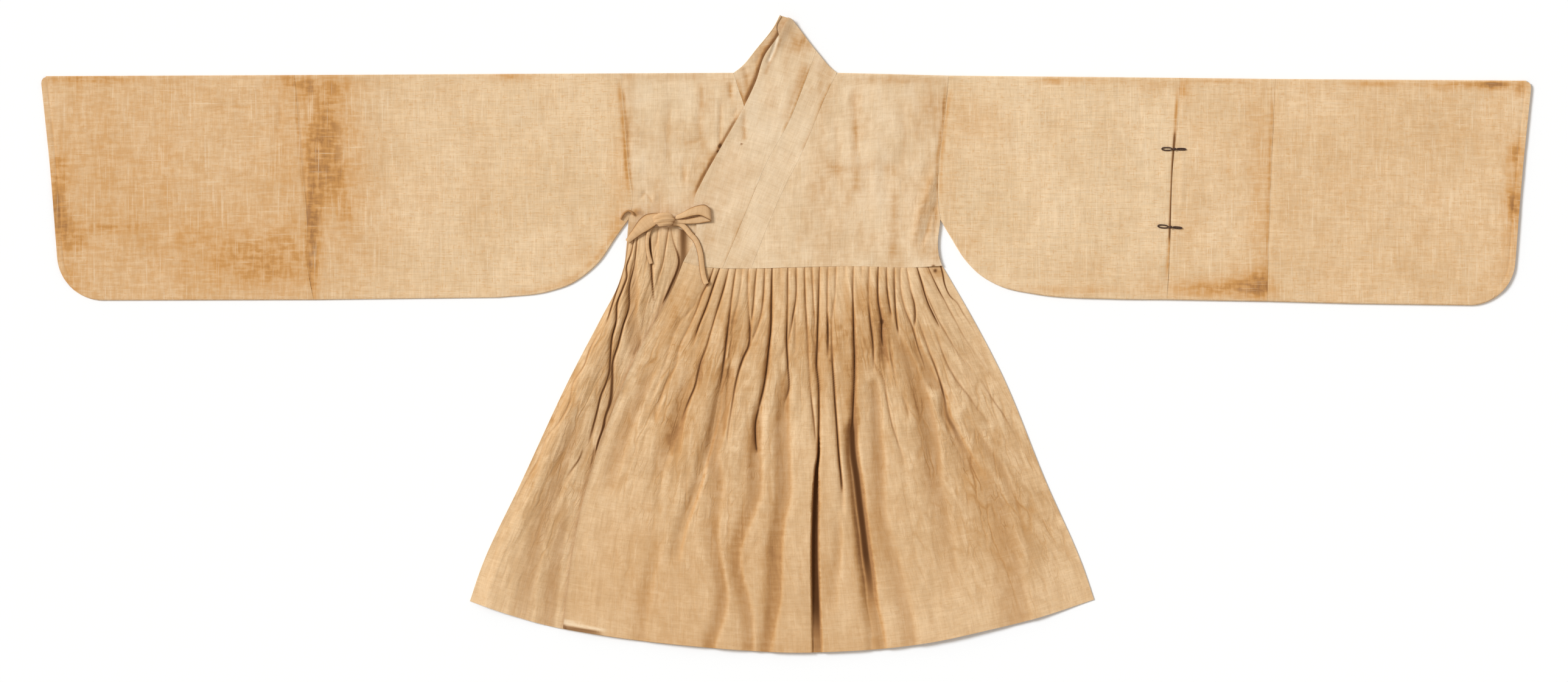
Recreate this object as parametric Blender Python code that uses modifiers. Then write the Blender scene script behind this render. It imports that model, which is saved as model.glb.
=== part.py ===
"""A Korean pleated-skirt coat (cheollik), laid flat with its front up.

Sides are the wearer's: the right sleeve lies towards -X, and the collar points to +Y. Cloth rests on z = 0.
Each piece is a wall of cloth. The back lies lowest, the wearer's right front on it, the left front on top.
Tables give millimetres in the coat's frame. Everything else is in metres.
"""

import math

import bpy
import numpy as np

MM = 0.001

# Driving sizes of the coat.
SPAN = 2.638
CUFF_CORNER = 0.081
CUFF_TOP_CORNER = 0.013
CLOTH = 0.0012
SEAM_GAP = 0.0004
LAYER_INNER = 0.0024
LAYER_OUTER = 0.0040
FOLD_STEPS = 4

# Pleats of the skirt: the share of the pitch, and the share of the rise there.
KNIFE_PLEAT = ((0.0, 0.0), (0.4, 0.72), (0.86, 1.0))
PRESSED_PLEAT = ((0.0, 0.0), (0.55, 0.0), (0.8, 1.0))
OUTER_PLEATS = 28
INNER_PLEATS = 15
BACK_PLEATS = 22
OUTER_FLAT_SHARE = 0.135
INNER_SHOWN_SHARE = 0.19

# How far the pleats and the broad folds rise, by the share of the way down the skirt.
OUTER_RISE = {"down": (0.0, 0.15, 0.5, 1.0), "pleat": (1.6, 5.5, 4.0, 1.5), "fold": (0.0, 0.0, 6.0, 12.0)}
INNER_RISE = {"down": (0.0, 0.25, 0.6, 1.0), "pleat": (0.8, 6.0, 6.0, 3.0), "fold": (0.0, 0.0, 1.5, 2.0)}
BACK_RISE = {"down": (0.0, 0.3, 0.7, 1.0), "pleat": (0.5, 1.8, 1.2, 0.4)}
OUTER_BASE = {"down": (0.0, 0.4, 1.0), "z": (4.0, 9.0, 9.0)}
INNER_BASE = {"down": (0.0, 0.3, 1.0), "z": (2.4, 3.6, 3.6)}
SIDE_EDGE_Z = 1.7
SIDE_RAMP_SHARE = 0.07
BACK_RAMP_SHARE = 0.13

# Broad folds of the top skirt: where each ridge lies across it, its half width, and its share of the rise.
OUTER_FOLDS = (
    {"across": 0.20, "half_width": 0.035, "share": 0.35},
    {"across": 0.33, "half_width": 0.045, "share": 0.55},
    {"across": 0.43, "half_width": 0.035, "share": 0.75},
    {"across": 0.515, "half_width": 0.040, "share": 1.0},
    {"across": 0.605, "half_width": 0.032, "share": 0.9},
    {"across": 0.685, "half_width": 0.035, "share": 0.7},
    {"across": 0.78, "half_width": 0.045, "share": 0.45},
    {"across": 0.88, "half_width": 0.040, "share": 0.3},
)
INNER_FOLDS = (
    {"across": 0.45, "half_width": 0.09, "share": 1.0},
    {"across": 0.68, "half_width": 0.10, "share": 0.8},
    {"across": 0.88, "half_width": 0.07, "share": 0.6},
)

# Lines that pieces share, each from its upper end to its lower end, or from -X to +X.
RIGHT_ARMHOLE = ((-293, 461), (-286, 384), (-279, 294), (-273, 225), (-279, 203))
LEFT_ARMHOLE = ((288, 457), (279, 372), (271, 310), (270, 226), (273, 203))
RIGHT_SLEEVE_SEAM = ((-870, 458), (-860, 327), (-849, 210), (-846, 108), (-837, 61))
LEFT_SLEEVE_SLIT = ((697, 453), (693, 374), (685, 300), (680, 168), (674, 61))
LEFT_SLEEVE_SEAM = ((866, 451), (860, 319), (853, 112), (852, 58))
RIGHT_BODY_SIDE = ((-279, 203), (-280, 171), (-283, 140), (-287, 120))
LEFT_BODY_SIDE = ((273, 203), (269, 149), (272, 132), (276, 120))
BACK_SEAM_FOOT = (0, 120)
RIGHT_NECK_SLOPE = ((-11, 564), (-19, 548), (-52, 505), (-81, 471), (-93, 462))
LEFT_NECK_SLOPE = ((9, 558), (17, 548), (53, 501), (79, 471), (90, 462))
BACK_NECKLINE = ((-93, 462), (-62, 447), (-30, 440), (0, 438), (30, 440), (62, 447), (90, 462))
INNER_COLLAR_SEAM = ((-93, 462), (-84, 432), (-76, 409), (-73, 343), (-66, 250), (-52, 136))
INNER_COLLAR_EDGE = (
    (-9, 562), (-17, 545), (-14, 527), (-10, 493), (0, 440), (10, 343), (30, 225), (60, 128),
)
OUTER_COLLAR_EDGE = (
    (3, 560), (-15, 526), (-38, 493), (-54, 446), (-75, 402), (-118, 326), (-148, 272), (-163, 238),
    (-164, 218), (-159, 190), (-163, 168), (-182, 128),
)
COLLAR_SEAM = ((53, 501), (35, 451), (1, 368), (-31, 311), (-62, 238), (-87, 178), (-113, 116))
BORDER_SEAM = ((90, 462), (81, 445), (65, 410), (31, 328), (-13, 238), (-38, 178), (-62, 116))
OUTER_WAIST = (
    (-182, 128), (-158, 121), (-113, 116), (-62, 116), (124, 120), (233, 117), (247, 122), (276, 120),
)
INNER_WAIST = ((-282, 163), (-250, 184), (-206, 189), (-158, 176), (-52, 136), (60, 128))
SKIRT_RIGHT_SIDE = (
    (-287, 120), (-298, 85), (-326, 31), (-377, -66), (-468, -260), (-543, -422), (-560, -473),
)
SKIRT_LEFT_SIDE = ((276, 120), (297, 85), (328, 31), (379, -66), (459, -260), (529, -422), (545, -470))
INNER_SKIRT_SIDE = (INNER_WAIST[0],) + SKIRT_RIGHT_SIDE
OUTER_SKIRT_EDGE = (
    (-182, 128), (-197, 90), (-222, 40), (-260, -27), (-319, -167), (-363, -308), (-381, -400),
    (-395, -521),
)
INNER_SKIRT_EDGE = ((60, 128), (110, -30), (180, -260), (240, -460), (262, -545))
HEM = (
    (-560, -473), (-508, -491), (-422, -516), (-336, -532), (-250, -544), (-163, -553), (-77, -560),
    (9, -564), (95, -562), (182, -556), (262, -545), (354, -525), (440, -504), (545, -470),
)

# The cuffs: height of the shoulder line, middle of the opening, lower side and lower edge.
RIGHT_CUFF = {"top": 457, "middle": (-1304, 300), "side": 1291, "lower": 60}
LEFT_CUFF = {"top": 449, "middle": (1304, 290), "side": 1291, "lower": 51}
# How far round each corner the opening starts and ends, in degrees from +Y, and the points there.
TOP_CORNER_TURN = {"start": 22, "end": 90, "points": 4}
LOW_CORNER_TURN = {"start": 94, "end": 178, "points": 9}

# Lower edges of the sleeves: under the cuffs from the corner to the seam, and on to the armpit.
RIGHT_CUFF_LOWER = ((-853, 61),)
LEFT_CUFF_LOWER = ((1200, 51), (1001, 54))
RIGHT_UNDERARM = ((-508, 65), (-422, 75), (-379, 90), (-355, 106), (-334, 125), (-302, 171), (-279, 203))
LEFT_UNDERARM = ((273, 203), (292, 171), (320, 128), (342, 106), (379, 85), (440, 71), (579, 62), (674, 61))

# The bow: x, upper edge, lower edge and height of each ribbon at its middle.
BOW_LOOP = (
    {"x": -194, "upper": 211, "lower": 203, "z": 10.9},
    {"x": -179, "upper": 219, "lower": 205, "z": 11.0},
    {"x": -164, "upper": 224, "lower": 209, "z": 11.0},
    {"x": -149, "upper": 227, "lower": 207, "z": 10.9},
    {"x": -137, "upper": 228, "lower": 200, "z": 10.6},
    {"x": -131, "upper": 224, "lower": 201, "z": 9.4},
    {"x": -138, "upper": 226, "lower": 197, "z": 8.2},
    {"x": -149, "upper": 215, "lower": 195, "z": 8.0},
    {"x": -164, "upper": 207, "lower": 194, "z": 8.0},
    {"x": -192, "upper": 200, "lower": 194, "z": 8.0},
)
BOW_BAND = (
    {"x": -239, "upper": 213, "lower": 188, "z": 9.4},
    {"x": -250, "upper": 208, "lower": 183, "z": 9.0},
    {"x": -260, "upper": 194, "lower": 178, "z": 8.8},
    {"x": -268, "upper": 186, "lower": 173, "z": 8.5},
    {"x": -275, "upper": 174, "lower": 166, "z": 8.2},
    {"x": -280, "upper": 166, "lower": 160, "z": 8.0},
)
BOW_TAIL = (
    {"x": -189, "y": 192, "z": 6.4},
    {"x": -171, "y": 177, "z": 6.4},
    {"x": -161, "y": 167, "z": 6.4},
    {"x": -153, "y": 145, "z": 6.4},
    {"x": -147, "y": 114, "z": 6.9},
    {"x": -142, "y": 88, "z": 8.2},
)
BOW_STRAND = (
    {"x": -239, "y": 185, "z": 6.6},
    {"x": -244, "y": 175, "z": 6.6},
    {"x": -246, "y": 156, "z": 7.0},
    {"x": -243, "y": 133, "z": 7.6},
)
BOW_TAIL_WIDTH = 0.0105
BOW_STRAND_WIDTH = 0.0065
BOW_BAND_CLOTH = 0.0024
BOW_KNOT = {"centre": (-0.216, 0.202, 0.0138), "radii": (0.0200, 0.0140, 0.0062)}

# Corded toggles that close the slit of the left sleeve.
TOGGLES = (
    {"name": "upper_toggle", "x": 0.6872, "y": 0.3272, "turn": -1.0},
    {"name": "lower_toggle", "x": 0.6802, "y": 0.1892, "turn": -5.0},
)
TOGGLE_CORD = 0.0021
TOGGLE_LOOP_LENGTH = 0.0200
TOGGLE_LOOP_WIDTH = 0.0062
TOGGLE_STEM_LENGTH = 0.0180
TOGGLE_STEM_WIDTH = 0.0046
TOGGLE_KNOT_RADIUS = 0.0030
TOGGLE_REST_Z = LAYER_OUTER + CLOTH + SEAM_GAP + TOGGLE_CORD / 2

# The bound loop of cloth at the right armpit.
UNDERARM_LOOP = ((-290, 207), (-286, 214), (-280, 218), (-274, 215))
UNDERARM_LOOP_RADIUS = 0.0015
UNDERARM_LOOP_Z = 0.0058

COLOURS = {
    "body_cloth": ((0.753, 0.530, 0.310, 1.0), 0.88),
    "sleeve_cloth": ((0.740, 0.480, 0.250, 1.0), 0.88),
    "skirt_cloth": ((0.650, 0.420, 0.225, 1.0), 0.88),
    "tie_cloth": ((0.620, 0.350, 0.165, 1.0), 0.85),
    "toggle_cord": ((0.045, 0.017, 0.007, 1.0), 0.70),
}


def clear_scene():
    for obj in list(bpy.data.objects):
        bpy.data.objects.remove(obj, do_unlink=True)


def make_collection(name):
    made = bpy.data.collections.new(name)
    bpy.context.scene.collection.children.link(made)
    return made


def material(name):
    """The Principled material of this cloth or cord, made once."""
    found = bpy.data.materials.get(name)
    if found:
        return found
    colour, roughness = COLOURS[name]
    made = bpy.data.materials.new(name)
    made.use_nodes = True
    shader = made.node_tree.nodes["Principled BSDF"]
    shader.inputs["Base Color"].default_value = colour
    shader.inputs["Roughness"].default_value = roughness
    shader.inputs["Metallic"].default_value = 0.0
    made.diffuse_color = colour
    return made


def smoothstep(value):
    held = min(max(value, 0.0), 1.0)
    return held * held * (3.0 - 2.0 * held)


def at_height(profile, down, key):
    """The value of a rise table's column, this share of the way down."""
    return float(np.interp(down, profile["down"], profile[key]))


def steps(count):
    """Fractions from 0 to 1 in this many equal steps."""
    return [i / count for i in range(count + 1)]


def along(line, fractions):
    """Points near these fractions of a line's length, the nearest moved onto its corners if enough."""
    points = np.asarray(line, float)
    lengths = np.concatenate([[0.0], np.cumsum(np.linalg.norm(np.diff(points, axis=0), axis=1))])
    wanted = np.asarray(fractions, float) * lengths[-1]
    corners = lengths[1:-1] if len(wanted) >= len(lengths) else []
    first = 1
    for k, corner in enumerate(corners):
        last = len(wanted) - 1 - (len(corners) - k)
        nearest = first + int(np.argmin(np.abs(wanted[first : last + 1] - corner)))
        wanted[nearest] = corner
        first = nearest + 1
    wanted = np.maximum.accumulate(wanted)
    return np.column_stack([np.interp(wanted, lengths, points[:, axis]) for axis in (0, 1)])


def between(line, first_x, last_x):
    """The stretch of a line that runs towards +X, cut at two x values."""
    points = np.asarray(line, float)
    cut = [(x, float(np.interp(x, points[:, 0], points[:, 1]))) for x in (first_x, last_x)]
    inside = [tuple(p) for p in points if first_x < p[0] < last_x]
    return [cut[0], *inside, cut[1]]


def patch(left, right, upper, lower, across, down):
    """A grid of points that fills four edges, row by row from the upper edge. A None edge is straight."""
    across, down = np.asarray(across), np.asarray(down)
    left_points, right_points = along(left, down), along(right, down)
    upper_points = along(upper or (left[0], right[0]), across)
    lower_points = along(lower or (left[-1], right[-1]), across)
    u, v = across[None, :, None], down[:, None, None]
    sides = (1 - u) * left_points[:, None] + u * right_points[:, None]
    ends = (1 - v) * upper_points[None] + v * lower_points[None]
    top = (1 - u) * upper_points[0] + u * upper_points[-1]
    bottom = (1 - u) * lower_points[0] + u * lower_points[-1]
    return (sides + ends - (1 - v) * top - v * bottom) * MM


def leave_seams(grid):
    """The grid with its edges drawn in, so that it stops half a seam's gap short of each neighbour."""
    inset = SEAM_GAP / 2
    drawn = grid.copy()
    drawn[:, 0, 0] += inset
    drawn[:, -1, 0] -= inset
    drawn[0, :, 1] -= inset
    drawn[-1, :, 1] += inset
    return drawn


def object_from_grid(name, rows, closed=False):
    """A surface through rows of 3-D points. A closed one joins its last row to its first."""
    count = len(rows[0])
    points = [tuple(float(value) for value in point) for row in rows for point in row]
    pairs = [(i, i + 1) for i in range(len(rows) - 1)]
    if closed:
        pairs.append((len(rows) - 1, 0))
    faces = [
        (b * count + j, b * count + j + 1, a * count + j + 1, a * count + j)
        for a, b in pairs
        for j in range(count - 1)
    ]
    mesh = bpy.data.meshes.new(name)
    mesh.from_pydata(points, [], faces)
    mesh.update()
    made = bpy.data.objects.new(name, mesh)
    COAT.objects.link(made)
    return made


def give_wall(obj, slot, thickness, offset):
    wall = obj.modifiers.new("wall", "SOLIDIFY")
    wall.thickness = thickness
    wall.offset = offset
    wall.use_even_offset = True
    obj.data.materials.append(material(slot))
    return obj


def sheet(name, slot, grid, height):
    """One layer of cloth whose underside has this height at each (across, down, x, y)."""
    rows = []
    for i, row in enumerate(grid["points"]):
        down = grid["down"][i]
        rows.append(
            [(x, y, height(grid["across"][j], down) * MM) for j, (x, y) in enumerate(row)]
        )
    return give_wall(object_from_grid(name, rows), slot, CLOTH, 1.0)


def fold_over(edge, facing, low, high):
    """Points of a half-round fold from high to low, and where it starts. Facing is 1 towards +Y."""
    radius = (high - low) / 2
    outward = np.array([0.0, facing])
    turned = []
    for step in range(1, FOLD_STEPS):
        angle = math.pi * step / FOLD_STEPS
        place = edge - outward * radius * (1 - math.sin(angle))
        turned.append((*place, low + radius * (1 + math.cos(angle))))
    return turned, edge - outward * radius


def folded(name, slot, front, back, high, low, tube):
    """Cloth folded along its upper edge, front over back. A tube is joined along its lower edge too."""
    columns = []
    for j in range(front.shape[1]):
        upper_fold, front_top = fold_over(front[0, j], 1, low, high)
        _, back_top = fold_over(back[0, j], 1, low, high)
        front_points, back_points = front[:, j].copy(), back[:, j].copy()
        front_points[0], back_points[0] = front_top, back_top
        lower_fold = []
        if tube:
            lower_fold, lower_end = fold_over(front[-1, j], -1, low, high)
            front_points[-1] = back_points[-1] = lower_end
        columns.append(
            [(*p, high) for p in front_points[::-1]]
            + upper_fold
            + [(*p, low) for p in back_points]
            + lower_fold[::-1]
        )
    rows = [[column[i] for column in columns] for i in range(len(columns[0]))]
    return give_wall(object_from_grid(name, rows, closed=tube), slot, CLOTH, 0.0)


def corner_arc(centre, radius, start_deg, end_deg, count):
    """Points of a round corner, as table values."""
    x, y = centre
    angles = np.radians(np.linspace(start_deg, end_deg, count))
    return [(x + radius * math.cos(a), y + radius * math.sin(a)) for a in angles]


def cuff_edges(cuff, facing):
    """A cuff's opening as far as half-way round its lower corner, and the rest of that corner."""
    round_top, round_low = CUFF_TOP_CORNER / MM, CUFF_CORNER / MM
    centre = (facing * (SPAN / 2 / MM - round_top), cuff["top"] - round_top)
    top_corner = turned_corner(centre, round_top, facing, TOP_CORNER_TURN)
    centre = (facing * (cuff["side"] - round_low), cuff["lower"] + round_low)
    low_corner = turned_corner(centre, round_low, facing, LOW_CORNER_TURN)
    half = len(low_corner) // 2
    return [*top_corner, cuff["middle"], *low_corner[: half + 1]], low_corner[half:]


def turned_corner(centre, radius, facing, turn):
    start, end = 90 - facing * turn["start"], 90 - facing * turn["end"]
    return corner_arc(centre, radius, start, end, turn["points"])


def make_sleeves():
    """Five flat tubes, each folded at the shoulder line and joined below, open at both ends."""
    inner, outer = LAYER_INNER + CLOTH / 2, LAYER_OUTER + CLOTH / 2
    opening, corner = cuff_edges(RIGHT_CUFF, -1)
    lower = [*corner, *RIGHT_CUFF_LOWER, RIGHT_SLEEVE_SEAM[-1]]
    sleeve_tube("right_sleeve_outer", opening, RIGHT_SLEEVE_SEAM, lower, 6, 9, inner)
    lower = [RIGHT_SLEEVE_SEAM[-1], *RIGHT_UNDERARM]
    sleeve_tube("right_sleeve_inner", RIGHT_SLEEVE_SEAM, RIGHT_ARMHOLE, lower, 10, 5, inner)

    sleeve_tube("left_sleeve_inner", LEFT_ARMHOLE, LEFT_SLEEVE_SLIT, LEFT_UNDERARM, 9, 5, outer)
    sleeve_tube("left_sleeve_middle", LEFT_SLEEVE_SLIT, LEFT_SLEEVE_SEAM, None, 2, 5, outer)
    opening, corner = cuff_edges(LEFT_CUFF, 1)
    lower = [LEFT_SLEEVE_SEAM[-1], *LEFT_CUFF_LOWER[::-1], *corner[::-1]]
    sleeve_tube("left_sleeve_outer", LEFT_SLEEVE_SEAM, opening, lower, 6, 9, outer)


def sleeve_tube(name, left, right, lower, columns, rows, high):
    grid = leave_seams(patch(left, right, None, lower, steps(columns), steps(rows)))
    return folded(name, "sleeve_cloth", grid, grid, high, CLOTH / 2, tube=True)


def make_bodies():
    """The two halves of the body, front and back in one, folded at the shoulder and parted at the back."""
    low = CLOTH / 2
    neck = BACK_NECKLINE
    middle = len(neck) // 2
    across, down = steps(4), steps(8)

    right_side = RIGHT_ARMHOLE + RIGHT_BODY_SIDE[1:]
    front_side = RIGHT_ARMHOLE + (INNER_WAIST[0],)
    front = patch(front_side, INNER_COLLAR_SEAM, None, INNER_WAIST[:5], across, down)
    back_seam = neck[: middle + 1] + (BACK_SEAM_FOOT,)
    back = patch(right_side, back_seam, None, None, across, down)
    front, back = leave_seams(front), leave_seams(back)
    folded("right_body", "body_cloth", front, back, LAYER_INNER + low, low, tube=False)

    left_side = LEFT_ARMHOLE + LEFT_BODY_SIDE[1:]
    waist = OUTER_WAIST[3:]
    front = patch(BORDER_SEAM, left_side, None, waist, across, down)
    back_seam = neck[middle:][::-1] + (BACK_SEAM_FOOT,)
    back = patch(back_seam, left_side, None, None, across, down)
    front, back = leave_seams(front), leave_seams(back)
    folded("left_body", "body_cloth", front, back, LAYER_OUTER + low, low, tube=False)


def collar_panel(name, left, right, upper, lower, columns, rows, level):
    across, down = steps(columns), steps(rows)
    points = leave_seams(patch(left, right, upper, lower, across, down))
    grid = {"points": points, "across": across, "down": down}
    return sheet(name, "body_cloth", grid, lambda _across, _down: level / MM)


def make_collar():
    """The collar stands up behind the neck as a folded peak, and its two ends cross at the front."""
    peak = (RIGHT_NECK_SLOPE[0], LEFT_NECK_SLOPE[0])
    collar_panel("back_collar", RIGHT_NECK_SLOPE, LEFT_NECK_SLOPE, peak, BACK_NECKLINE, 8, 5, 0.0)
    left = RIGHT_NECK_SLOPE + INNER_COLLAR_SEAM[1:]
    collar_panel("inner_collar", left, INNER_COLLAR_EDGE, None, None, 3, 14, LAYER_INNER)
    right = LEFT_NECK_SLOPE[:2] + COLLAR_SEAM
    waist = OUTER_WAIST[:3]
    collar_panel("outer_collar", OUTER_COLLAR_EDGE, right, None, waist, 3, 18, LAYER_OUTER)
    slope = LEFT_NECK_SLOPE[2:]
    collar_panel("outer_collar_border", COLLAR_SEAM, BORDER_SEAM, slope, None, 2, 12, LAYER_OUTER)


def pleat_columns(flat_share, flat_columns, pleats, profile):
    """Fractions across a skirt: a flat stretch, then the corners of each pleat."""
    flat = [flat_share * i / flat_columns for i in range(flat_columns)]
    pitch = (1 - flat_share) / pleats
    corners = [flat_share + pitch * (i + share) for i in range(pleats) for share, _ in profile]
    return flat + corners + [1.0]


def pleat_rise(across, flat_share, pleats, profile):
    """How far up its pleat a place across the skirt is, from 0 to 1."""
    if across < flat_share:
        return 0.0
    phase = (across - flat_share) / (1 - flat_share) * pleats % 1.0
    shares = [share for share, _ in profile] + [1.0]
    rises = [rise for _, rise in profile] + [0.0]
    return float(np.interp(phase, shares, rises))


def fold_rise(across, folds):
    """How far up the broad folds a place across the skirt is, from 0 to 1."""
    highest = 0.0
    for fold in folds:
        near = 1 - abs(across - fold["across"]) / fold["half_width"]
        highest = max(highest, fold["share"] * smoothstep(near))
    return highest


def outer_skirt_height(across, down):
    base = at_height(OUTER_BASE, down, "z")
    pleats = pleat_rise(across, OUTER_FLAT_SHARE, OUTER_PLEATS, KNIFE_PLEAT)
    pleats *= at_height(OUTER_RISE, down, "pleat")
    folds = at_height(OUTER_RISE, down, "fold") * fold_rise(across, OUTER_FOLDS)
    at_side = smoothstep((1 - across) / SIDE_RAMP_SHARE)
    return SIDE_EDGE_Z + (base - SIDE_EDGE_Z + pleats + folds) * at_side


def inner_skirt_height(across, down):
    base = at_height(INNER_BASE, down, "z")
    shown = 1 - smoothstep((across - INNER_SHOWN_SHARE * 0.75) / (INNER_SHOWN_SHARE * 0.25))
    pleats = shown * pleat_rise(across, 0.0, INNER_PLEATS, KNIFE_PLEAT)
    pleats *= at_height(INNER_RISE, down, "pleat")
    folds = at_height(INNER_RISE, down, "fold") * fold_rise(across, INNER_FOLDS)
    at_side = smoothstep(across / SIDE_RAMP_SHARE)
    return SIDE_EDGE_Z + (base - SIDE_EDGE_Z + pleats + folds) * at_side


def back_skirt_height(across, down):
    at_side = smoothstep(min(across, 1 - across) / BACK_RAMP_SHARE)
    pleats = pleat_rise(across, 0.0, BACK_PLEATS, PRESSED_PLEAT) * at_height(BACK_RISE, down, "pleat")
    return pleats * at_side


def skirt(name, left, right, waist, hem, across, rows, height):
    down = [step**1.25 for step in steps(rows)]
    points = leave_seams(patch(left, right, waist, hem, across, down))
    grid = {"points": points, "across": across, "down": down}
    return sheet(name, "skirt_cloth", grid, height)


def make_skirts():
    """Three pleated panels: the back, the wearer's right front over it, and the left front on top."""
    across = pleat_columns(0.0, 0, BACK_PLEATS, PRESSED_PLEAT)
    waist = (SKIRT_RIGHT_SIDE[0], SKIRT_LEFT_SIDE[0])
    skirt("back_skirt", SKIRT_RIGHT_SIDE, SKIRT_LEFT_SIDE, waist, HEM, across, 6, back_skirt_height)
    across = inner_columns()
    hem = between(HEM, HEM[0][0], INNER_SKIRT_EDGE[-1][0])
    sides = INNER_SKIRT_SIDE, INNER_SKIRT_EDGE
    skirt("right_front_skirt", *sides, INNER_WAIST, hem, across, 7, inner_skirt_height)
    across = pleat_columns(OUTER_FLAT_SHARE, 4, OUTER_PLEATS, KNIFE_PLEAT)
    hem = between(HEM, OUTER_SKIRT_EDGE[-1][0], HEM[-1][0])
    sides = OUTER_SKIRT_EDGE, SKIRT_LEFT_SIDE
    skirt("left_front_skirt", *sides, OUTER_WAIST, hem, across, 9, outer_skirt_height)


def inner_columns():
    """Pleat corners where the right front shows, and wider steps where the left front covers it."""
    shown = [x for x in pleat_columns(0.0, 0, INNER_PLEATS, KNIFE_PLEAT) if x < INNER_SHOWN_SHARE]
    return shown + [INNER_SHOWN_SHARE + (1 - INNER_SHOWN_SHARE) * step for step in steps(16)]


def ribbon_between(name, table, thickness):
    """A ribbon whose table gives both edges at each x."""
    rows = []
    for row in table:
        x, z = row["x"] * MM, row["z"] * MM
        rows.append([(x, row["lower"] * MM, z), (x, row["upper"] * MM, z)])
    return give_wall(object_from_grid(name, rows), "tie_cloth", thickness, 0.0)


def ribbon_along(name, table, width):
    """A ribbon of even width along the middle line that its table gives."""
    middle = np.array([(row["x"], row["y"], row["z"]) for row in table]) * MM
    run = np.gradient(middle, axis=0)
    side = np.column_stack([-run[:, 1], run[:, 0], np.zeros(len(run))])
    side *= width / 2 / np.linalg.norm(side, axis=1)[:, None]
    rows = [[tuple(p - s), tuple(p + s)] for p, s in zip(middle, side)]
    return give_wall(object_from_grid(name, rows), "tie_cloth", CLOTH, 0.0)


def ball(name, slot, centre, radii, segments, rings):
    bpy.ops.mesh.primitive_uv_sphere_add(
        segments=segments, ring_count=rings, radius=1.0, location=centre
    )
    made = bpy.context.active_object
    made.name = name
    made.data.name = name
    made.data.transform([[radii[0], 0, 0, 0], [0, radii[1], 0, 0], [0, 0, radii[2], 0], [0, 0, 0, 1]])
    made.data.shade_smooth()
    made.data.materials.append(material(slot))
    for collection in list(made.users_collection):
        collection.objects.unlink(made)
    COAT.objects.link(made)
    return made


def cord(name, slot, points, radius, cyclic):
    curve = bpy.data.curves.new(name, "CURVE")
    curve.dimensions = "3D"
    curve.bevel_depth = radius
    curve.bevel_resolution = 2
    curve.use_fill_caps = not cyclic
    spline = curve.splines.new("POLY")
    spline.points.add(len(points) - 1)
    for point, place in zip(spline.points, points):
        point.co = (*place, 1.0)
    spline.use_cyclic_u = cyclic
    made = bpy.data.objects.new(name, curve)
    curve.materials.append(material(slot))
    COAT.objects.link(made)
    return made


def long_ring(length, width, count):
    """Points of a ring with two straight runs and round ends, lying along X and centred."""
    radius = width / 2
    reach = length / 2 - radius
    points = []
    for side, start in ((1, -90), (-1, 90)):
        for i in range(count):
            angle = math.radians(start + 180 * i / (count - 1))
            points.append((side * reach + radius * math.cos(angle), radius * math.sin(angle)))
    return points


def make_bow():
    """The tie's knot, its loop, the band from the side seam, and two narrow ends."""
    ball("bow_knot", "tie_cloth", BOW_KNOT["centre"], BOW_KNOT["radii"], 16, 8)
    ribbon_between("bow_loop", BOW_LOOP, CLOTH)
    ribbon_between("bow_band", BOW_BAND, BOW_BAND_CLOTH)
    ribbon_along("bow_tail", BOW_TAIL, BOW_TAIL_WIDTH)
    ribbon_along("bow_strand", BOW_STRAND, BOW_STRAND_WIDTH)


def make_toggles():
    """Each toggle is a loop of cord, a knot that it passes round, and the knot's doubled stem."""
    radius = TOGGLE_CORD / 2
    room = TOGGLE_KNOT_RADIUS + SEAM_GAP
    for toggle in TOGGLES:
        turn = math.radians(toggle["turn"])
        parts = (
            ("loop", TOGGLE_LOOP_LENGTH, TOGGLE_LOOP_WIDTH, -1),
            ("stem", TOGGLE_STEM_LENGTH, TOGGLE_STEM_WIDTH, 1),
        )
        for part, length, width, side in parts:
            middle = side * (room + length / 2)
            ring = long_ring(length - 2 * radius, width - 2 * radius, 6)
            points = []
            for x, y in ring:
                run = x + middle
                points.append(
                    (
                        toggle["x"] + run * math.cos(turn) - y * math.sin(turn),
                        toggle["y"] + run * math.sin(turn) + y * math.cos(turn),
                        TOGGLE_REST_Z,
                    )
                )
            cord(f"{toggle['name']}_{part}", "toggle_cord", points, radius, cyclic=True)
        knot_z = LAYER_OUTER + CLOTH + SEAM_GAP + TOGGLE_KNOT_RADIUS
        radii = (TOGGLE_KNOT_RADIUS,) * 3
        ball(f"{toggle['name']}_knot", "toggle_cord", (toggle["x"], toggle["y"], knot_z), radii, 12, 8)


def make_underarm_loop():
    points = [(x * MM, y * MM, UNDERARM_LOOP_Z) for x, y in UNDERARM_LOOP]
    cord("underarm_loop", "tie_cloth", points, UNDERARM_LOOP_RADIUS, cyclic=False)


clear_scene()
COAT = make_collection("pleated_coat")
make_sleeves()
make_bodies()
make_collar()
make_skirts()
make_bow()
make_toggles()
make_underarm_loop()
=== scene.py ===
"""The cloth, tie and cords of a Korean pleated-skirt coat, laid flat with its front up.

Sides are the wearer's: the right sleeve lies towards -X, and the collar points to +Y.
Tables give millimetres in the coat's frame. Everything else is in metres.
"""

import math

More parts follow.
